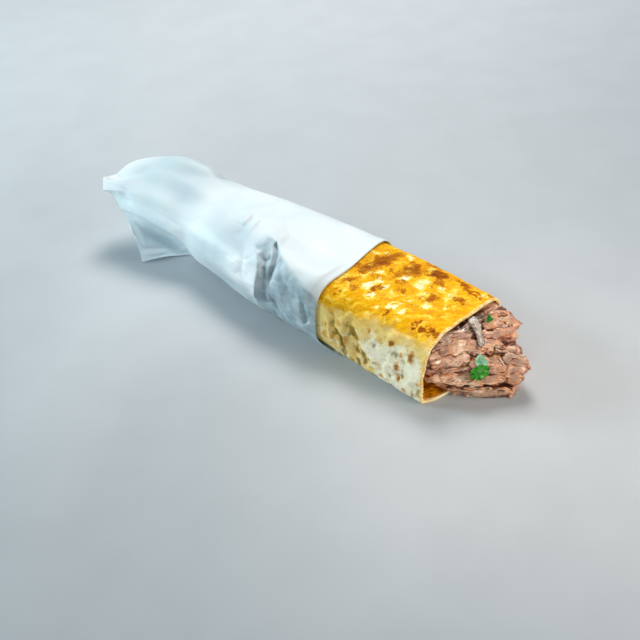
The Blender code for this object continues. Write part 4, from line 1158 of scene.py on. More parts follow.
def hem_faces(rows, count):
    """Faces of the paper, whose last ring is closed by joining its near half to its far half."""
    faces = tube_faces(rows, count)
    faces.pop()
    start, half = (rows - 1) * count, count // 2
    for j in range(half):
        near, ahead = start + j, start + j + 1
        beyond, far = start + count - j - 1, start + (count - j) % count
        if j == 0:
            faces.append((near, ahead, beyond))
        elif j == half - 1:
            faces.append((near, ahead, far))
        else:
            faces.append((near, ahead, beyond, far))
    return faces


def build_paper():
    steps = PAPER_STEPS
    places = side_positions(steps)
    tube = paper_tube(places, steps)
    rings = np.concatenate((tube, creased_end(tube, places)))
    low, high = len(tube) - JOIN_REACH, len(tube) + JOIN_REACH
    for _ in range(JOIN_PASSES):
        rings[low:high] = (rings[low - 1:high - 1] + rings[low:high] * 2 + rings[low + 1:high + 1]) / 4
    rings[..., 2] = np.maximum(rings[..., 2], 0.0)
    points = rings.reshape(-1, 3)
    # How sharply the paper bends at each point, for the painted shade in its bends.
    bend = np.linalg.norm(np.gradient(np.gradient(rings, axis=1), axis=1), axis=-1)
    # Painted shade on the folded end past the bread, fading in from the tube and out again by the spout.
    empty = ease_between(-points[:, 0], 196.0, 226.0) * (0.75 + 0.25 * noise_at(points, 18.0, 9.0))
    empty *= 1.0 - 0.9 * ease_between(-points[:, 0], 262.0, 284.0)
    shade, lit = creased_shade(tube, places, len(rings))
    values = {"crease_shade": np.clip(bend.ravel() * 1.6, 0.0, 1.0), "empty": np.clip(empty, 0.0, 1.0),
              "dip_shade": dips_of(rings), "shade": shade, "lit": lit}
    make_piece("paper_wrap", points, hem_faces(len(rings), len(places)), paper_look(),
               "paper_wrapper", values)


# Beef

# Columns on each side of the core's section.
CORE_STEPS = (20, 26, 14, 14)

# Layers of sliced beef in the open end, from the ground up: the heights of a layer, where it leaves
# the bread on the near side, its furthest point forward and its far corner, as (x, y).
LAYERS = (
    (0.0, 4.6, 9.2, 14.0, 35.2, 33.0, 29.0, 48.0),
    (4.0, 9.0, 0.0, 19.0, 35.2, 36.0, 30.0, 49.5),
    (8.6, 13.2, -2.0, 6.8, 35.4, 41.5, 30.0, 51.5),
    (12.9, 17.6, -1.0, 7.0, 32.5, 43.5, 29.0, 52.5),
    (17.0, 21.6, -2.0, 8.5, 24.5, 42.0, 24.0, 53.0),
    (20.7, 25.2, -1.0, 8.8, 21.0, 44.0, 22.5, 53.0),
    (24.4, 29.0, -1.0, 13.0, 18.4, 46.0, 21.0, 56.0),
    (28.2, 31.4, -1.0, 18.0, 8.0, 42.0, 10.0, 50.0),
)
# Points along a layer's front and back, and how far in its rings lie from the edge.
SLICE_STEPS = 150
BACK_STEPS = 34
SLICE_INSETS = (14.0, 9.0, 5.5, 3.2, 1.8, 0.8, 0.2, 0.0)

# Slices and lumps that show on the heap: the points of the middle line, the direction across,
# width, thickness and kind of meat.
SLABS = (
    (((0, 40, 33.0), (4.5, 50, 32.6), (9, 60, 30.6)), (0.8, -0.3, -0.4), 7.0, 2.4, "grey"),
    (((5, 45, 32.4), (9.5, 53, 31.8), (13.5, 60, 29.6)), (0.7, -0.3, -0.6), 4.4, 2.0, "orange"),
    (((8, 41, 30.6), (13.5, 49.5, 29.6), (20, 58, 27.0)), (0.6, -0.35, -0.7), 8.4, 3.4, "orange"),
    (((11, 34, 28.0), (16.5, 43.5, 26.2), (22.0, 53.5, 23.6)), (0.4, -0.35, -0.85), 7.6, 3.4, "pink"),
    (((8, 24, 26.0), (15.5, 34.5, 24.0), (21.5, 43, 21.4)), (0.4, -0.35, -0.85), 7.6, 3.2, "pale"),
    (((19, 37, 21.6), (24.0, 42.5, 20.8), (28.5, 48, 19.0)), (0.4, -0.3, -0.85), 6.4, 3.8, "red"),
    (((24, 37, 18.2), (30.0, 43, 17.6), (33.6, 46.6, 15.2)), (0.35, -0.25, -0.9), 6.0, 3.8, "grey"),
    (((26, 36.5, 13.6), (31.6, 42.4, 13.2), (34.8, 45.2, 12.0)), (0.4, -0.3, -0.85), 5.6, 3.6, "pink"),
    (((25, 32, 9.2), (31.0, 37.0, 9.2), (34.6, 40.6, 8.6)), (0.3, -0.3, -0.9), 5.4, 3.2, "orange"),
    (((-2, 16, 29.6), (2.6, 24, 32.0), (6.8, 33.5, 31.0)), (0.5, -0.5, -0.7), 6.6, 2.4, "grey"),
    (((-2, 12, 25.4), (4.0, 20.2, 27.2), (11.5, 31.0, 27.0)), (0.5, -0.5, -0.7), 7.6, 2.8, "pale"),
    (((-1, 9.4, 20.6), (4.6, 15.6, 22.4), (12.0, 26.0, 21.6)), (0.4, -0.6, -0.7), 7.6, 2.8, "red"),
    (((2, 12.0, 17.4), (8.4, 18.6, 17.2), (14.5, 25.4, 16.8)), (0.4, -0.6, -0.7), 6.0, 2.8, "pink"),
    (((14, 24.4, 18.6), (20.6, 30.4, 16.8), (27.0, 36.4, 15.0)), (0.4, -0.45, -0.8), 10.6, 3.0, "orange"),
    (((-1, 7.6, 13.0), (6.6, 13.6, 12.2), (17.0, 21.4, 11.4)), (0.4, -0.6, -0.7), 7.0, 2.8, "pale"),
    (((12, 18.4, 9.4), (21.0, 25.2, 10.0), (29.0, 32.8, 10.2)), (0.4, -0.5, -0.8), 5.6, 2.6, "orange"),
    (((7, 15.6, 3.4), (20, 22.2, 3.6), (33.6, 32.4, 4.0)), (0.2, -0.4, 0.9), 6.6, 3.0, "pale"),
    (((-1, 30, 33.0), (3.5, 40, 32.8), (7.5, 49, 31.8)), (0.8, -0.3, -0.4), 6.4, 2.6, "pink"),
    (((-1, 46, 32.0), (3.5, 54, 31.0), (8, 62, 29.2)), (0.8, -0.3, -0.4), 6.0, 2.6, "orange"),
)
MEAT_TONES = {
    "grey": (tone(204, 164, 140), tone(150, 104, 80)),
    "pink": (tone(222, 150, 112), tone(160, 84, 52)),
    "pale": (tone(240, 186, 146), tone(196, 126, 84)),
    "orange": (tone(220, 138, 66), tone(158, 78, 30)),
    "red": (tone(182, 98, 64), tone(126, 56, 34)),
    "deep": (tone(166, 94, 58), tone(100, 46, 26)),
}
LAYER_KINDS = ("pale", "orange", "pink", "deep", "red", "pale", "pink", "grey")
# Colours laid over the meat; the last two are a painted highlight on its most open surfaces and painted
# shade in the gaps between pieces.
BEEF_TONES = {
    "orange": tone(206, 114, 36), "dark_slab": tone(122, 56, 42), "pale_slab": tone(240, 206, 178),
    "strand": tone(250, 210, 180), "blotch": tone(104, 54, 26), "grit": tone(92, 44, 20),
    "open": tone(248, 220, 196), "gap": tone(72, 30, 18),
}
# Small torn strips: how many, and the least and the most of their half length, width and thickness.
SHRED_COUNT = 110
SHRED_HALF = (1.6, 4.0)
SHRED_WIDTH = (0.7, 1.5)
SHRED_THICK = (0.5, 0.9)
# Rays sent out from each point of the meat, and how far, to find how open it lies.
OPEN_RAYS = 10
OPEN_REACH = 9.0
# Places along the roll where the core narrows towards the open end.
CORE_X = (-72.0, -56.0, -38.0, -22.0, -13.0)
# Meat nearer the bread than this keeps inside its opening, and clear of its torn lip: how far the
# lip reaches at its middle and beside it, and its middle and half width across the roll.
MOUTH_REACH_X = 7.0
LIP_REACH = (7.8, 1.3)
LIP_MIDDLE = 17.0


def smooth_front(corners, count):
    """Evenly spaced points along a rounded line through the given corners."""
    line = [np.array(c, dtype=float) for c in corners]
    for _ in range(3):
        cut = [line[0]]
        for a, b in zip(line, line[1:]):
            cut += [a * 0.75 + b * 0.25, a * 0.25 + b * 0.75]
        line = cut + [line[-1]]
    return resampled(line, count, closed=False)


def inner_limits(z):
    """Near and far limits in y for beef at height z inside the bread's open end."""
    ring = section_ring(MOUTH_X, -BREAD_WALL - 0.9, CORE_STEPS)
    z = min(max(z, ring[:, 1].min() + 0.2), ring[:, 1].max() - 0.4)
    crossings = []
    for (y1, z1), (y2, z2) in zip(ring, np.roll(ring, -1, axis=0)):
        if (z1 - z) * (z2 - z) <= 0 and z1 != z2:
            crossings.append(y1 + (y2 - y1) * (z - z1) / (z2 - z1))
    return min(crossings), max(crossings)


def mouth_ceiling(ys):
    """Height limit for beef at each y inside the bread's open end."""
    ring = section_ring(MOUTH_X, -BREAD_WALL - 0.9, CORE_STEPS)
    upper = ring[ring[:, 1] > 16.0]
    upper = upper[np.argsort(upper[:, 0])]
    return np.interp(ys, upper[:, 0], upper[:, 1])


class Heap:
    """Collects closed bodies of meat with what the material needs to know of each point."""

    def __init__(self):
        self.points, self.faces, self.fibre, self.light, self.dark, self.gloss = [], [], [], [], [], []
        self.count = 0

    def add(self, rings, fibre, kind, gloss):
        rows, columns = rings.shape[:2]
        flat = rings.reshape(-1, 3)
        faces = tube_faces(rows, columns, self.count)
        self.faces += [face[::-1] for face in faces] if tube_volume(rings) < 0 else faces
        self.points.append(flat)
        self.fibre.append(fibre.reshape(-1, 3))
        self.light.append(np.tile(MEAT_TONES[kind][0], (len(flat), 1)))
        self.dark.append(np.tile(MEAT_TONES[kind][1], (len(flat), 1)))
        self.gloss.append(np.full(len(flat), gloss))
        self.count += len(flat)

    def gathered(self):
        parts = self.points, self.fibre, self.light, self.dark, self.gloss
        return [np.concatenate(part) for part in parts]


def meat_relief(rings, fibre, coarse=0.8, seed=0.0):
    """Bodies of meat with lumps, fibres along them and small pits."""
    normal = grid_normals(rings)
    lift = coarse * noise_at(rings, 7.0, seed) + 0.3 * noise_at(rings, 3.0, seed + 1.0)
    height = settings().beef_fibre / MM
    strands = noise_at(fibre, (11.0, 1.8, 4.0), seed + 2.0)
    hairs = noise_at(fibre, (6.0, 0.8, 2.0), seed + 3.0)
    lift += 0.9 * height * (1.0 - 2.2 * np.abs(strands)) + 0.8 * height * (1.0 - 2.0 * np.abs(hairs))
    split = noise_at(fibre, (9.0, 2.0, 3.0), seed + 4.0)
    lift -= 0.5 * ease_between(split, 0.40, 0.80)
    return rings + normal * lift[..., None]


def slab_body(path, across, width, thick, seed, steps=72, turns=48, torn=2.6):
    """Slice or lump along a middle line, with rounded sides, fibres along it and torn ends."""
    line = smooth_front(path, steps)
    length = np.linalg.norm(np.diff(line, axis=0), axis=1).sum()
    along = unit(np.gradient(line, axis=0))
    across = np.array(across, dtype=float)
    across = unit(across - along * (along @ across)[:, None])
    up = np.cross(along, across)
    t = np.linspace(0.0, 1.0, steps)
    taper = np.sqrt(np.clip(1.0 - np.abs(2 * t - 1) ** 5, 0.0004, 1.0))
    wobble = 1.0 + 0.22 * noise_along(t * length, 5.0, seed)
    angle = turn_angles(turns)
    side = np.sign(np.cos(angle)) * np.abs(np.cos(angle)) ** 0.55
    rise = np.sign(np.sin(angle)) * np.abs(np.sin(angle)) ** 0.60
    arc = np.cumsum(np.hypot(np.gradient(side) * width / 2, np.gradient(rise) * thick / 2))
    spot = np.stack(np.broadcast_arrays((t * length)[:, None], 4.0 * side[None, :], 4.0 * rise[None, :]),
                    axis=-1)
    fray = 1.0 + 0.26 * clouds_at(spot, (4.0, 7.0, 5.0), seed + 6.0)
    breadth = side[None, :] * (width / 2 * taper * wobble)[:, None] * fray
    rings = (line[:, None, :] + across[:, None, :] * breadth[..., None]
             + up[:, None, :] * (rise[None, :, None] * (thick / 2 * taper ** 0.8)[:, None, None]))
    reach = noise_at(np.column_stack((np.cos(angle), np.sin(angle), angle * 0)) * 3.0, 1.1, seed + 5.0)
    pull = ((2 * t - 1) ** 3)[:, None] * reach[None, :] * torn
    rings = rings + along[:, None, :] * pull[..., None]
    fibre = np.stack(np.broadcast_arrays((t * length)[:, None], arc[None, :], seed * 5.0), axis=-1)
    return rings, fibre


def layer_body(row, seed):
    """One layer of the heap: thin where it is torn and rounded along its ragged front."""
    low, high = row[:2]
    start, prow, far = np.array(row[2:4]), np.array(row[4:6]), np.array(row[6:8])
    near_in, far_in = inner_limits((low + high) / 2)
    far_in = min(far_in, inner_limits((low + high) / 2 + 1.0)[1])
    start = np.array((start[0], max(start[1], near_in)))
    lowest = low == 0.0
    middle = (start + prow) / 2 + np.array((1.6, -2.2)) * (0.35 if lowest else 1.0)
    corners = (start, middle, prow) + (prow,) * (2 if lowest else 0)
    corners += ((prow[0] - 0.5, (prow[1] + far[1]) / 2), far,
                (far[0] * 0.5, min(far[1] + 7.0, far_in - 1.0)), (0.0, far_in - 0.6))
    front = smooth_front(corners, SLICE_STEPS)
    back_y = max(near_in, min(start[1], near_in + 12.0)) + 0.4
    back = resampled(((0.0, far_in - 0.6), (-17.0, far_in - 0.8), (-17.0, back_y), tuple(start)),
                     BACK_STEPS, closed=False)[1:-1]
    outline = np.concatenate((front, back))
    ahead = np.clip(outline[:, 0] / 8.0, 0.0, 1.0)
    normal = np.roll(outline, -1, axis=0) - np.roll(outline, 1, axis=0)
    normal = unit(np.stack((normal[:, 1], -normal[:, 0]), axis=1))
    flat = np.column_stack((outline, np.full(len(outline), low)))
    ragged = 1.1 * clouds_at(flat, 5.0, seed) - 1.2
    outline = outline + normal * (ragged * ahead)[:, None]
    centre = outline.mean(axis=0)
    length = np.concatenate(([0.0], np.cumsum(np.linalg.norm(np.diff(outline, axis=0), axis=1))))
    thick = high - low
    rows, fibre = [], []
    profile = [(inset, 0.0) for inset in SLICE_INSETS] + [(-0.25, 0.5)]
    profile += [(inset, 1.0) for inset in SLICE_INSETS[::-1]]
    run = 0.0
    for k, (inset, part) in enumerate(profile):
        away = outline - centre
        distance = np.linalg.norm(away, axis=1, keepdims=True)
        plan = outline - away / distance * np.minimum(inset, distance * 0.8)
        round_off = thick / 2 * (1.0 - math.sqrt(max(0.0, 1.0 - (1.0 - min(inset, 1.8) / 1.8) ** 2)))
        z = low + thick * part + (0.5 - part) * 2.0 * round_off
        rows.append(np.column_stack((plan, np.full(len(plan), z))))
        last_inset, last_part = profile[k - 1]
        run += 1.0 if k == 0 else abs(inset - last_inset) + abs(part - last_part) * thick * 0.5
        fibre.append(np.column_stack((length, np.full(len(plan), run), np.full(len(plan), seed * 5.0))))
    return np.array(rows), np.array(fibre)


def kept_inside(rings, floor=0.0):
    """Meat points that stay clear of the bread and on the ground."""
    points = rings.reshape(-1, 3).copy()
    inside = points[:, 0] < MOUTH_REACH_X
    ceiling = mouth_ceiling(points[:, 1]) - 0.1
    near = np.interp(points[:, 2], LIMIT_HEIGHTS, LIMIT_NEAR)
    far = np.interp(points[:, 2], LIMIT_HEIGHTS, LIMIT_FAR)
    points[:, 2] = np.where(inside, np.minimum(points[:, 2], ceiling), points[:, 2])
    points[:, 1] = np.where(inside, np.clip(points[:, 1], near, far), points[:, 1])
    lip = LIP_REACH[0] * bump(points[:, 1] - LIP_MIDDLE, LIP_MIDDLE) + LIP_REACH[1]
    ground = np.where(points[:, 0] < lip, BREAD_WALL + 0.5, floor)
    points[:, 2] = np.maximum(points[:, 2], ground)
    return points.reshape(rings.shape)


LIMIT_HEIGHTS = np.linspace(1.0, 33.0, 33)
LIMIT_NEAR, LIMIT_FAR = np.array([inner_limits(z) for z in LIMIT_HEIGHTS]).T


def openness(points, normals, tree, reach):
    """How open each point is, from 0 deep in a gap to 1 on the outside."""
    rng = np.random.default_rng(5)
    spread = unit(rng.normal(size=(OPEN_RAYS, 3)))
    result = np.ones(len(points))
    for i in np.flatnonzero(points[:, 0] > -6.0):
        start = Vector(points[i] + normals[i] * 0.25)
        hits = 0
        for way in spread:
            way = way + normals[i] * 1.05
            if tree.ray_cast(start, Vector(way).normalized(), reach)[0] is not None:
                hits += 1
        result[i] = 1.0 - hits / len(spread)
    return result


def beef_look():
    tones = BEEF_TONES
    look = Look("sliced_beef", Roughness=0.45, Subsurface_Weight=0.18, Subsurface_Scale=0.0015,
                Specular_IOR_Level=0.5, Coat_Roughness=0.12)
    fibre_place = look.place((MM, MM, MM), look.stored_vector("fibre"))
    band = look.clouds(1.0, 3.0, 0.55, place=look.place((0.09, 0.50, 0.3), fibre_place), twist=0.3)
    strand = look.clouds(1.0, 3.0, 0.6, place=look.place((0.16, 1.2, 0.5), fibre_place))
    patch = look.clouds(5.0, 4.0, 0.6)
    blotch = look.clouds(2.0, 4.0, 0.65, twist=0.5)
    wet = look.clouds(2.4, 3.0, 0.6)
    opened = look.stored("open")
    light = look.stored_vector("light")
    dark = look.stored_vector("dark")
    grit = look.clouds(0.9, 3.0, 0.65)
    slabs = look.clouds(7.0, 3.0, 0.5, twist=0.4)
    mixed = (band * 0.45 + blotch * 0.35 + strand * 0.2).between(0.44, 0.56)
    bright = (strand * 0.5 + band * 0.3 + grit * 0.2).between(0.54, 0.60)
    brown = (blotch * 0.5 + (1.0 - band) * 0.3 + grit * 0.2).between(0.54, 0.62)
    colour = look.layered(
        light, (1.0 - mixed, dark),
        (patch.between(0.49, 0.59) * 0.72, tones["orange"]),
        (slabs.between(0.51, 0.57) * 0.72, tones["dark_slab"]),
        (slabs.between(0.38, 0.46, 1.0, 0.0) * 0.60, tones["pale_slab"]),
        (bright * 0.75, tones["strand"]), (brown * 0.80, tones["blotch"]),
        (grit.between(0.58, 0.68) * 0.45, tones["grit"]),
        # painted light and shade: paler on the most open surfaces, dark in the gaps between pieces
        (opened.between(0.80, 1.0) * 0.30, tones["open"]),
        (opened.between(0.24, 0.84, 1.0, 0.0) * 0.88, tones["gap"]))
    look.feed(Base_Color=colour, Roughness=0.58 - wet.between(0.45, 0.65) * 0.24 + (strand - 0.5) * 0.2,
              Coat_Weight=wet.between(0.46, 0.60) * look.stored("gloss") * 0.9)
    look.ridge(strand * 0.6 + band * 0.3 + blotch * 0.2 + grit * 0.35, 0.5, 0.8)
    return look.material


def build_beef():
    rng = np.random.default_rng(31)
    heap = Heap()
    grow = -BREAD_WALL - NODE_GAP - 0.1
    inside, slack = Roll(grow, CORE_STEPS), Roll(-BREAD_WALL - 1.6, CORE_STEPS)
    count = sum(CORE_STEPS)
    core = list(reversed(end_rings(BREAD_END_X + BREAD_WALL + NODE_GAP, grow, CORE_STEPS)))
    core += [inside.points(np.full(count, x)) for x in HIDDEN_X]
    core += [slack.points(np.full(count, x)) for x in CORE_X]
    core = np.array(core)
    heap.add(core, core, "deep", 0.3)
    for i, row in enumerate(LAYERS):
        rings, fibre = layer_body(row, 3.0 * i)
        rings = meat_relief(rings, fibre, 0.5, 3.0 * i)
        if i == 0:
            rings[:9, :, 2] = np.where(rings[:9, :, 0] > 9.0, 0.0, rings[:9, :, 2])
        heap.add(kept_inside(rings), fibre, LAYER_KINDS[i], 0.7)
    for i, (path, across, width, thick, kind) in enumerate(SLABS):
        rings, fibre = slab_body(path, across, width, thick, 40.0 + 2.0 * i)
        rings = meat_relief(rings, fibre, 0.8, 50.0 + i)
        heap.add(kept_inside(rings), fibre, kind, 0.9)
    add_shreds(heap, rng)
    points, fibre, light, dark, gloss = heap.gathered()
    normals = point_normals(points, heap.faces)
    tree = BVHTree.FromPolygons([Vector(p) for p in points], heap.faces)
    # How open each point lies, for the painted light and shade of the meat.
    opened = openness(points, normals, tree, OPEN_REACH)
    values = {"fibre": fibre, "light": light, "dark": dark, "gloss": gloss, "open": opened}
    make_piece("beef_slices", points, heap.faces, beef_look(), "beef_filling", values,
               turned=True)


def point_normals(points, faces):
    """Direction outward at each point of closed bodies."""
    mesh = bpy.data.meshes.new("scratch")
    mesh.from_pydata(points.tolist(), [], faces)
    shape = bmesh.new()
    shape.from_mesh(mesh)
    shape.normal_update()
    normals = np.array([vert.normal for vert in shape.verts])
    shape.free()
    bpy.data.meshes.remove(mesh)
    return normals


def add_shreds(heap, rng):
    """Small torn strips that lie on the heap, along the slices under them."""
    for _ in range(SHRED_COUNT):
        path, across, width, thick, kind = SLABS[rng.integers(len(SLABS))]
        line = smooth_front(path, 40)
        at = rng.integers(6, 34)
        along = unit(line[min(at + 3, 39)] - line[at - 3])
        over = np.array(across, dtype=float)
        over = unit(over - along * np.dot(along, over))
        out = np.cross(over, along)
        out *= np.sign(out @ np.array((0.6, -0.5, 0.6)))
        side = rng.uniform(-0.5, 0.5)
        place = line[at] + over * width * side + out * thick * (0.5 - 0.35 * abs(side) - 0.02)
        way = unit(along + over * rng.normal(0.0, 0.35) + out * rng.normal(0.0, 0.12))
        half = rng.uniform(*SHRED_HALF)
        bow = over * rng.normal(0.0, 0.6) + out * rng.uniform(0.0, 0.3)
        points = (place - way * half, place + bow, place + way * half)
        breadth, deep = rng.uniform(*SHRED_WIDTH), rng.uniform(*SHRED_THICK)
        seed = float(rng.uniform(0, 90))
        rings, fibre = slab_body(points, over, breadth, deep, seed, steps=16, turns=10, torn=0.5)
        rings = rings + 0.12 * noise_at(rings, 1.2, seed)[..., None] * out
        shred_kind = kind if rng.random() < 0.5 else ("pale", "orange", "pink")[rng.integers(3)]
        heap.add(kept_inside(rings), fibre, shred_kind, 0.8)


# Onion strip and parsley

ONION_LINE = ((2.7, 40.5, 34.2), (5.6, 37.7, 34.5), (8.8, 36.0, 32.9), (12.3, 33.5, 31.4),
              (14.2, 32.5, 28.4), (15.6, 31.3, 26.6))
ONION_ACROSS = (0.40, 0.88, -0.16)
ONION_WIDTH = 6.4
ONION_THICK = 1.5
ONION_ROWS = 60
ONION_COLUMNS = 30
ONION_TONES = {
    "dull": tone(160, 148, 136), "light": tone(220, 208, 192), "grey": tone(112, 100, 104),
    "browned": tone(64, 46, 42),
}

# Parsley leaves: name, middle, the way they face, length, width, turn in degrees, and the reach of the
# edge from the middle at angles in degrees.
LEAVES = (
    ("parsley_leaf", (20.8, 23.2, 16.9), (0.62, -0.52, 0.58), 12.8, 7.6, 16,
     ((0, 0.96), (20, 0.98), (36, 0.80), (54, 0.98), (74, 1.0), (92, 0.80), (112, 0.96), (132, 0.92),
      (150, 0.76), (186, 0.88), (220, 0.80), (246, 0.96), (264, 0.94), (282, 0.76), (304, 0.98), (322, 1.0),
      (342, 0.82))),
    ("parsley_leaf_pale", (18.3, 26.9, 20.2), (0.66, -0.46, 0.58), 8.4, 6.8, 100,
     ((0, 0.98), (36, 0.88), (70, 0.96), (118, 0.84), (160, 1.0), (205, 0.82), (250, 0.90), (305, 0.80))),
    ("parsley_sprig", (10.6, 44.7, 34.5), (0.55, -0.45, 0.70), 5.2, 4.0, 60,
     ((0, 1.0), (46, 0.62), (96, 0.96), (150, 0.58), (215, 1.0), (286, 0.64))),
)
LEAF_THICK = 0.4
LEAF_SPOKES = 72
LEAF_RINGS = 12
# Reach near the middle, reach above which a lobe has a vein, number and depth of the teeth, how
# narrow the veins are and how high in mm, and how much the leaf waves and cups as shares of its
# length, with the reach at which the edge stays level.
LEAF_MIDDLE = 0.8
LOBE_FROM = 0.87
TEETH = 21
TOOTH = 0.03
VEIN_NARROW = 600
VEIN_RISE = 0.12
LEAF_WAVE = 0.07
LEAF_CUP = 0.14
LEVEL_REACH = 0.86


def onion_look():
    look = Look("grilled_onion", Roughness=0.3, Subsurface_Weight=0.35, Subsurface_Scale=0.002,
                Coat_Roughness=0.1)
    fibre = look.place((MM, MM, MM), look.stored_vector("fibre"))
    line = look.clouds(1.0, 3.0, 0.5, place=look.place((0.1, 1.6, 0.2), fibre))
    patch = look.clouds(3.0, 3.0, 0.6)
    rim = look.stored("rim")
    streak = rim + (line - 0.5) * 0.9 + (patch - 0.5) * 0.8
    tones = ONION_TONES
    colour = look.layered(
        tones["dull"], (line.between(0.38, 0.62), tones["light"]),
        (patch.between(0.50, 0.62) * 0.6, tones["grey"]),
        (streak.between(0.55, 0.95) * 0.85, tones["browned"]))
    look.feed(Base_Color=colour, Coat_Weight=patch.between(0.35, 0.6) * 0.8)
    look.ridge(line * 0.6, 0.2, 0.6)
    return look.material


def build_onion():
    line = smooth_front(ONION_LINE, ONION_ROWS)
    across = unit(np.array(ONION_ACROSS))
    turns = ONION_COLUMNS
    angle = turn_angles(turns)
    rings, fibre, rim = [], [], []
    for k, place in enumerate(line):
        t = k / (len(line) - 1)
        along = line[min(k + 1, len(line) - 1)] - line[max(k - 1, 0)]
        normal = unit(np.cross(along, across))
        half = ONION_WIDTH / 2 * (0.62 + 0.38 * math.sin(math.pi * min(t * 1.3 + 0.15, 1.0)))
        half *= 1.0 + 0.12 * math.sin(9.0 * t)
        half *= math.sqrt(max(0.02, 1.0 - abs(2 * t - 1) ** 14))
        side = np.cos(angle)
        rise = np.sin(angle) * (0.62 + 0.38 * side ** 2) * ONION_THICK / 2
        groove = 0.3 * np.sin(5.0 * side + 0.8 + 2.0 * t) * (np.sin(angle) > 0)
        rings.append(place + across * (half * side)[:, None] + normal * (rise + groove)[:, None])
        fibre.append(np.column_stack((np.full(turns, t * 18.0), side * half, angle * 0)))
        rim.append(np.abs(side))
    rings = np.array(rings)
    rings += 0.4 * clouds_at(rings, 2.2, 3.0)[..., None] * grid_normals(rings)
    values = {"fibre": np.concatenate(fibre), "rim": np.concatenate(rim)}
    make_piece("onion_slice", rings.reshape(-1, 3), tube_faces(len(rings), turns), onion_look(),
               "onion_strip", values)


def parsley_look(name, first, second):
    look = Look(name, Roughness=0.35, Subsurface_Weight=0.2, Subsurface_Scale=0.001,
                Coat_Roughness=0.25, Coat_Weight=0.12, Specular_IOR_Level=0.3)
    vein = look.stored("vein")
    patch = look.clouds(2.0, 3.0, 0.6)
    colour = look.blend(patch.between(0.36, 0.64), first, second)
    colour = look.blend(vein * 0.12, colour, tone(110, 196, 60))
    look.feed(Base_Color=colour)
    look.ridge(patch * 0.4 + vein * 0.3, 0.15, 0.5)
    return look.material


def build_leaf(row, look):
    """Thin wavy leaf with a lobed, toothed edge, a cupped middle and raised veins."""
    name, middle, facing, length, width, turn, edge = row
    facing = Vector(facing).normalized()
    first = facing.cross(Vector((0.0, 0.0, 1.0))).normalized()
    second = facing.cross(first)
    turn = math.radians(turn)
    angle = turn_angles(LEAF_SPOKES)
    spokes, reaches = np.array(edge).T
    reach = np.interp(np.degrees(angle), spokes, reaches, period=360.0)
    reach += TOOTH * np.sin(TEETH * angle)
    tips = np.radians(spokes[reaches > LOBE_FROM])
    vein_line = np.max([np.abs(np.cos((angle - tip) / 2)) ** VEIN_NARROW for tip in tips], axis=0)
    sheets, veins = [], []
    for side in (0.5, -0.5):
        for k in range(LEAF_RINGS + 1):
            share = k / LEAF_RINGS
            spread = LEAF_MIDDLE + (reach - LEAF_MIDDLE) * share
            u = share * spread * length / 2 * np.cos(angle)
            v = share * spread * width / 2 * np.sin(angle)
            a = u * math.cos(turn) - v * math.sin(turn)
            b = u * math.sin(turn) + v * math.cos(turn)
            rise = LEAF_WAVE * length * np.sin(5.0 * u / length + 3.0 * v / width)
            rise += LEAF_CUP * length * (reach - LEVEL_REACH) * share ** 2
            rise += VEIN_RISE * vein_line * share * (1 - share) * 4 * np.sign(side)
            rise += LEAF_THICK * side * (1.0 - 0.7 * share ** 4)
            sheets.append(np.array(middle) + np.outer(a, first) + np.outer(b, second)
                          + np.outer(rise, facing))
            veins.append(vein_line * (share > 0.05) * (1.0 - share))
    top = np.array(sheets[:LEAF_RINGS + 1])
    low = np.array(sheets[LEAF_RINGS + 1:])[::-1]
    rings = np.concatenate((top[1:], low[:-1]))
    vein = np.concatenate(veins[1:LEAF_RINGS + 1] + veins[LEAF_RINGS + 1:][::-1][:-1])
    make_piece(name + "_detail", rings.reshape(-1, 3), tube_faces(len(rings), LEAF_SPOKES), look,
               name, {"vein": vein})


# Stage

# Place of the camera, its turn about x, y and z in degrees, its lens and its sensor.
CAMERA_AT = (249.70, -296.66, 346.83)
CAMERA_TURN = (53.313, 4.748, 43.907)
CAMERA_LENS = 54.32
SENSOR_WIDTH = 36.0
# Half the floor's side, and how far it lies under the wrap, in metres.
FLOOR_HALF = 1.6
FLOOR_GAP = 0.0003

# Soft lamps: name, place and aim in metres, size in metres, spread in degrees, watts and colour.
LAMPS = (
    ("key", (-0.50, 0.66, 0.98), (0.0, 0.0, 0.02), 0.5, 180, 16.0, (1.0, 0.955, 0.91)),
    ("left", (-1.00, -0.50, 0.50), (0.0, 0.0, 0.02), 0.3, 180, 9.4, (0.77, 0.97, 1.0)),
    ("front", (0.46, 0.10, 0.22), (0.14, 0.0, 0.02), 0.2, 96, 0.38, (1.0, 0.88, 0.76)),
    ("mouth", (0.29, -0.28, 0.19), (0.118, -0.03, 0.012), 0.10, 38, 0.0235, (1.0, 0.90, 0.74)),
    ("tail", (0.10, -0.34, 0.09), (-0.124, -0.036, 0.014), 0.08, 20, 0.0200, (0.96, 1.0, 1.0)),
    ("ridge", (-0.36, -0.17, 0.18), (-0.024, -0.035, 0.018), 0.06, 20, 0.0074, (0.96, 1.0, 1.0)),
)
SKY = (0.30, 0.62, 0.86)
SKY_STRENGTH = 0.16


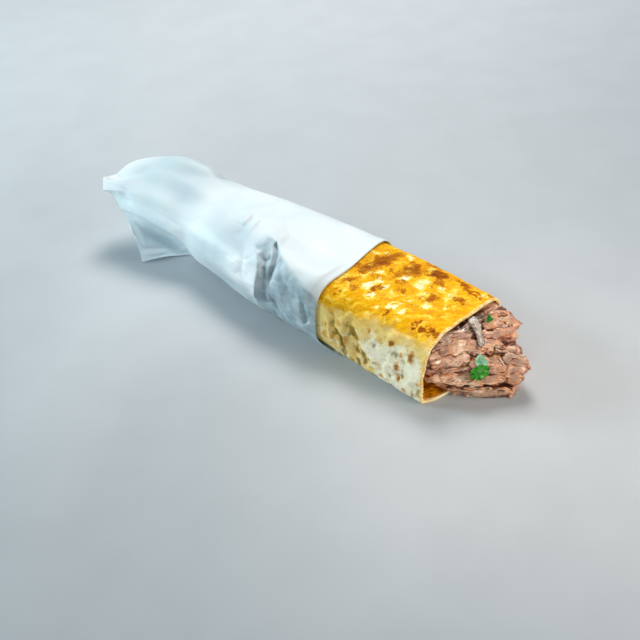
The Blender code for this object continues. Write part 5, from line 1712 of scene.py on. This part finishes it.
def build_stage():
    mesh = bpy.data.meshes.new("floor")
    size = FLOOR_HALF
    mesh.from_pydata([(-size, -size, 0), (size, -size, 0), (size, size, 0), (-size, size, 0)], [],
                     [(0, 1, 2, 3)])
    look = Look("floor_finish", Roughness=0.75)
    grain = look.clouds(40.0, 3.0, 0.5)
    base = tuple(settings().floor_colour)
    look.feed(Base_Color=look.blend(grain.between(0.3, 0.7), base, tuple(c * 0.96 for c in base)))
    mesh.materials.append(look.material)
    floor = added("floor", mesh)
    floor.location.z = -FLOOR_GAP
    for name, place, aim, size, spread, power, colour in LAMPS:
        lamp = bpy.data.lights.new(name, "AREA")
        lamp.energy = power
        lamp.size = size
        lamp.spread = math.radians(spread)
        lamp.color = colour
        holder = added(name, lamp)
        holder.location = place
        holder.rotation_euler = (Vector(aim) - Vector(place)).to_track_quat("-Z", "Y").to_euler()
        holder.visible_camera = False
    world = bpy.data.worlds.new("studio")
    world.use_nodes = True
    background = world.node_tree.nodes["Background"]
    background.inputs["Color"].default_value = (*SKY, 1.0)
    background.inputs["Strength"].default_value = SKY_STRENGTH
    bpy.context.scene.world = world
    bpy.context.scene.view_settings.view_transform = "Standard"
    build_camera()


def build_camera():
    camera = bpy.data.cameras.new("photo_view")
    camera.lens = CAMERA_LENS
    camera.sensor_width = SENSOR_WIDTH
    holder = added("photo_view", camera)
    turn = Euler(np.radians(CAMERA_TURN)).to_matrix().to_4x4()
    place = (np.array(CAMERA_AT) + OFFSET) * MM
    holder.matrix_world = Matrix.Translation(Vector(place)) @ turn
    bpy.context.scene.camera = holder


# Operators and panel

class WRAP_OT_flatbread(bpy.types.Operator):
    """Builds the griddled flatbread roll"""
    bl_idname = "beef_wrap.flatbread"
    bl_label = "Flatbread"

    def execute(self, context):
        build_bread()
        return {"FINISHED"}


class WRAP_OT_paper(bpy.types.Operator):
    """Builds the crumpled paper wrapper"""
    bl_idname = "beef_wrap.paper"
    bl_label = "Paper wrapper"

    def execute(self, context):
        build_paper()
        return {"FINISHED"}


class WRAP_OT_beef(bpy.types.Operator):
    """Builds the sliced beef with its shreds"""
    bl_idname = "beef_wrap.beef"
    bl_label = "Beef"

    def execute(self, context):
        build_beef()
        return {"FINISHED"}


class WRAP_OT_onion(bpy.types.Operator):
    """Builds the strip of grilled onion"""
    bl_idname = "beef_wrap.onion"
    bl_label = "Onion"

    def execute(self, context):
        build_onion()
        return {"FINISHED"}


class WRAP_OT_parsley(bpy.types.Operator):
    """Builds the parsley leaves"""
    bl_idname = "beef_wrap.parsley"
    bl_label = "Parsley"

    def execute(self, context):
        green = tuple(settings().leaf_green)
        bright = parsley_look("parsley", green, tone(50, 156, 16))
        # The pale leaf's bluish pale green is a painted reflection.
        pale = parsley_look("parsley_pale", tone(120, 190, 150), tone(170, 215, 190))
        for row in LEAVES:
            build_leaf(row, pale if "pale" in row[0] else bright)
        return {"FINISHED"}


class WRAP_OT_stage(bpy.types.Operator):
    """Sets up the floor, the lamps and the camera"""
    bl_idname = "beef_wrap.stage"
    bl_label = "Stage"

    def execute(self, context):
        build_stage()
        return {"FINISHED"}


OPERATORS = (WRAP_OT_flatbread, WRAP_OT_paper, WRAP_OT_beef, WRAP_OT_onion, WRAP_OT_parsley,
             WRAP_OT_stage)


class WRAP_PT_panel(bpy.types.Panel):
    """Lists the pieces of the wrap and their colours"""
    bl_idname = "WRAP_PT_panel"
    bl_label = "Beef wrap"
    bl_space_type = "VIEW_3D"
    bl_region_type = "UI"
    bl_category = "Beef wrap"

    def draw(self, context):
        for kind in OPERATORS:
            self.layout.operator(kind.bl_idname)
        for label in WrapSettings.__annotations__:
            self.layout.prop(context.scene.beef_wrap, label)


CLASSES = (WrapSettings,) + OPERATORS + (WRAP_PT_panel,)


def register():
    for kind in CLASSES:
        bpy.utils.register_class(kind)
    bpy.types.Scene.beef_wrap = bpy.props.PointerProperty(type=WrapSettings)


def unregister():
    del bpy.types.Scene.beef_wrap
    for kind in reversed(CLASSES):
        bpy.utils.unregister_class(kind)


def main():
    register()
    bpy.ops.beef_wrap.flatbread()
    bpy.ops.beef_wrap.paper()
    bpy.ops.beef_wrap.beef()
    bpy.ops.beef_wrap.onion()
    bpy.ops.beef_wrap.parsley()
    bpy.ops.beef_wrap.stage()


if __name__ == "__main__":
    main()
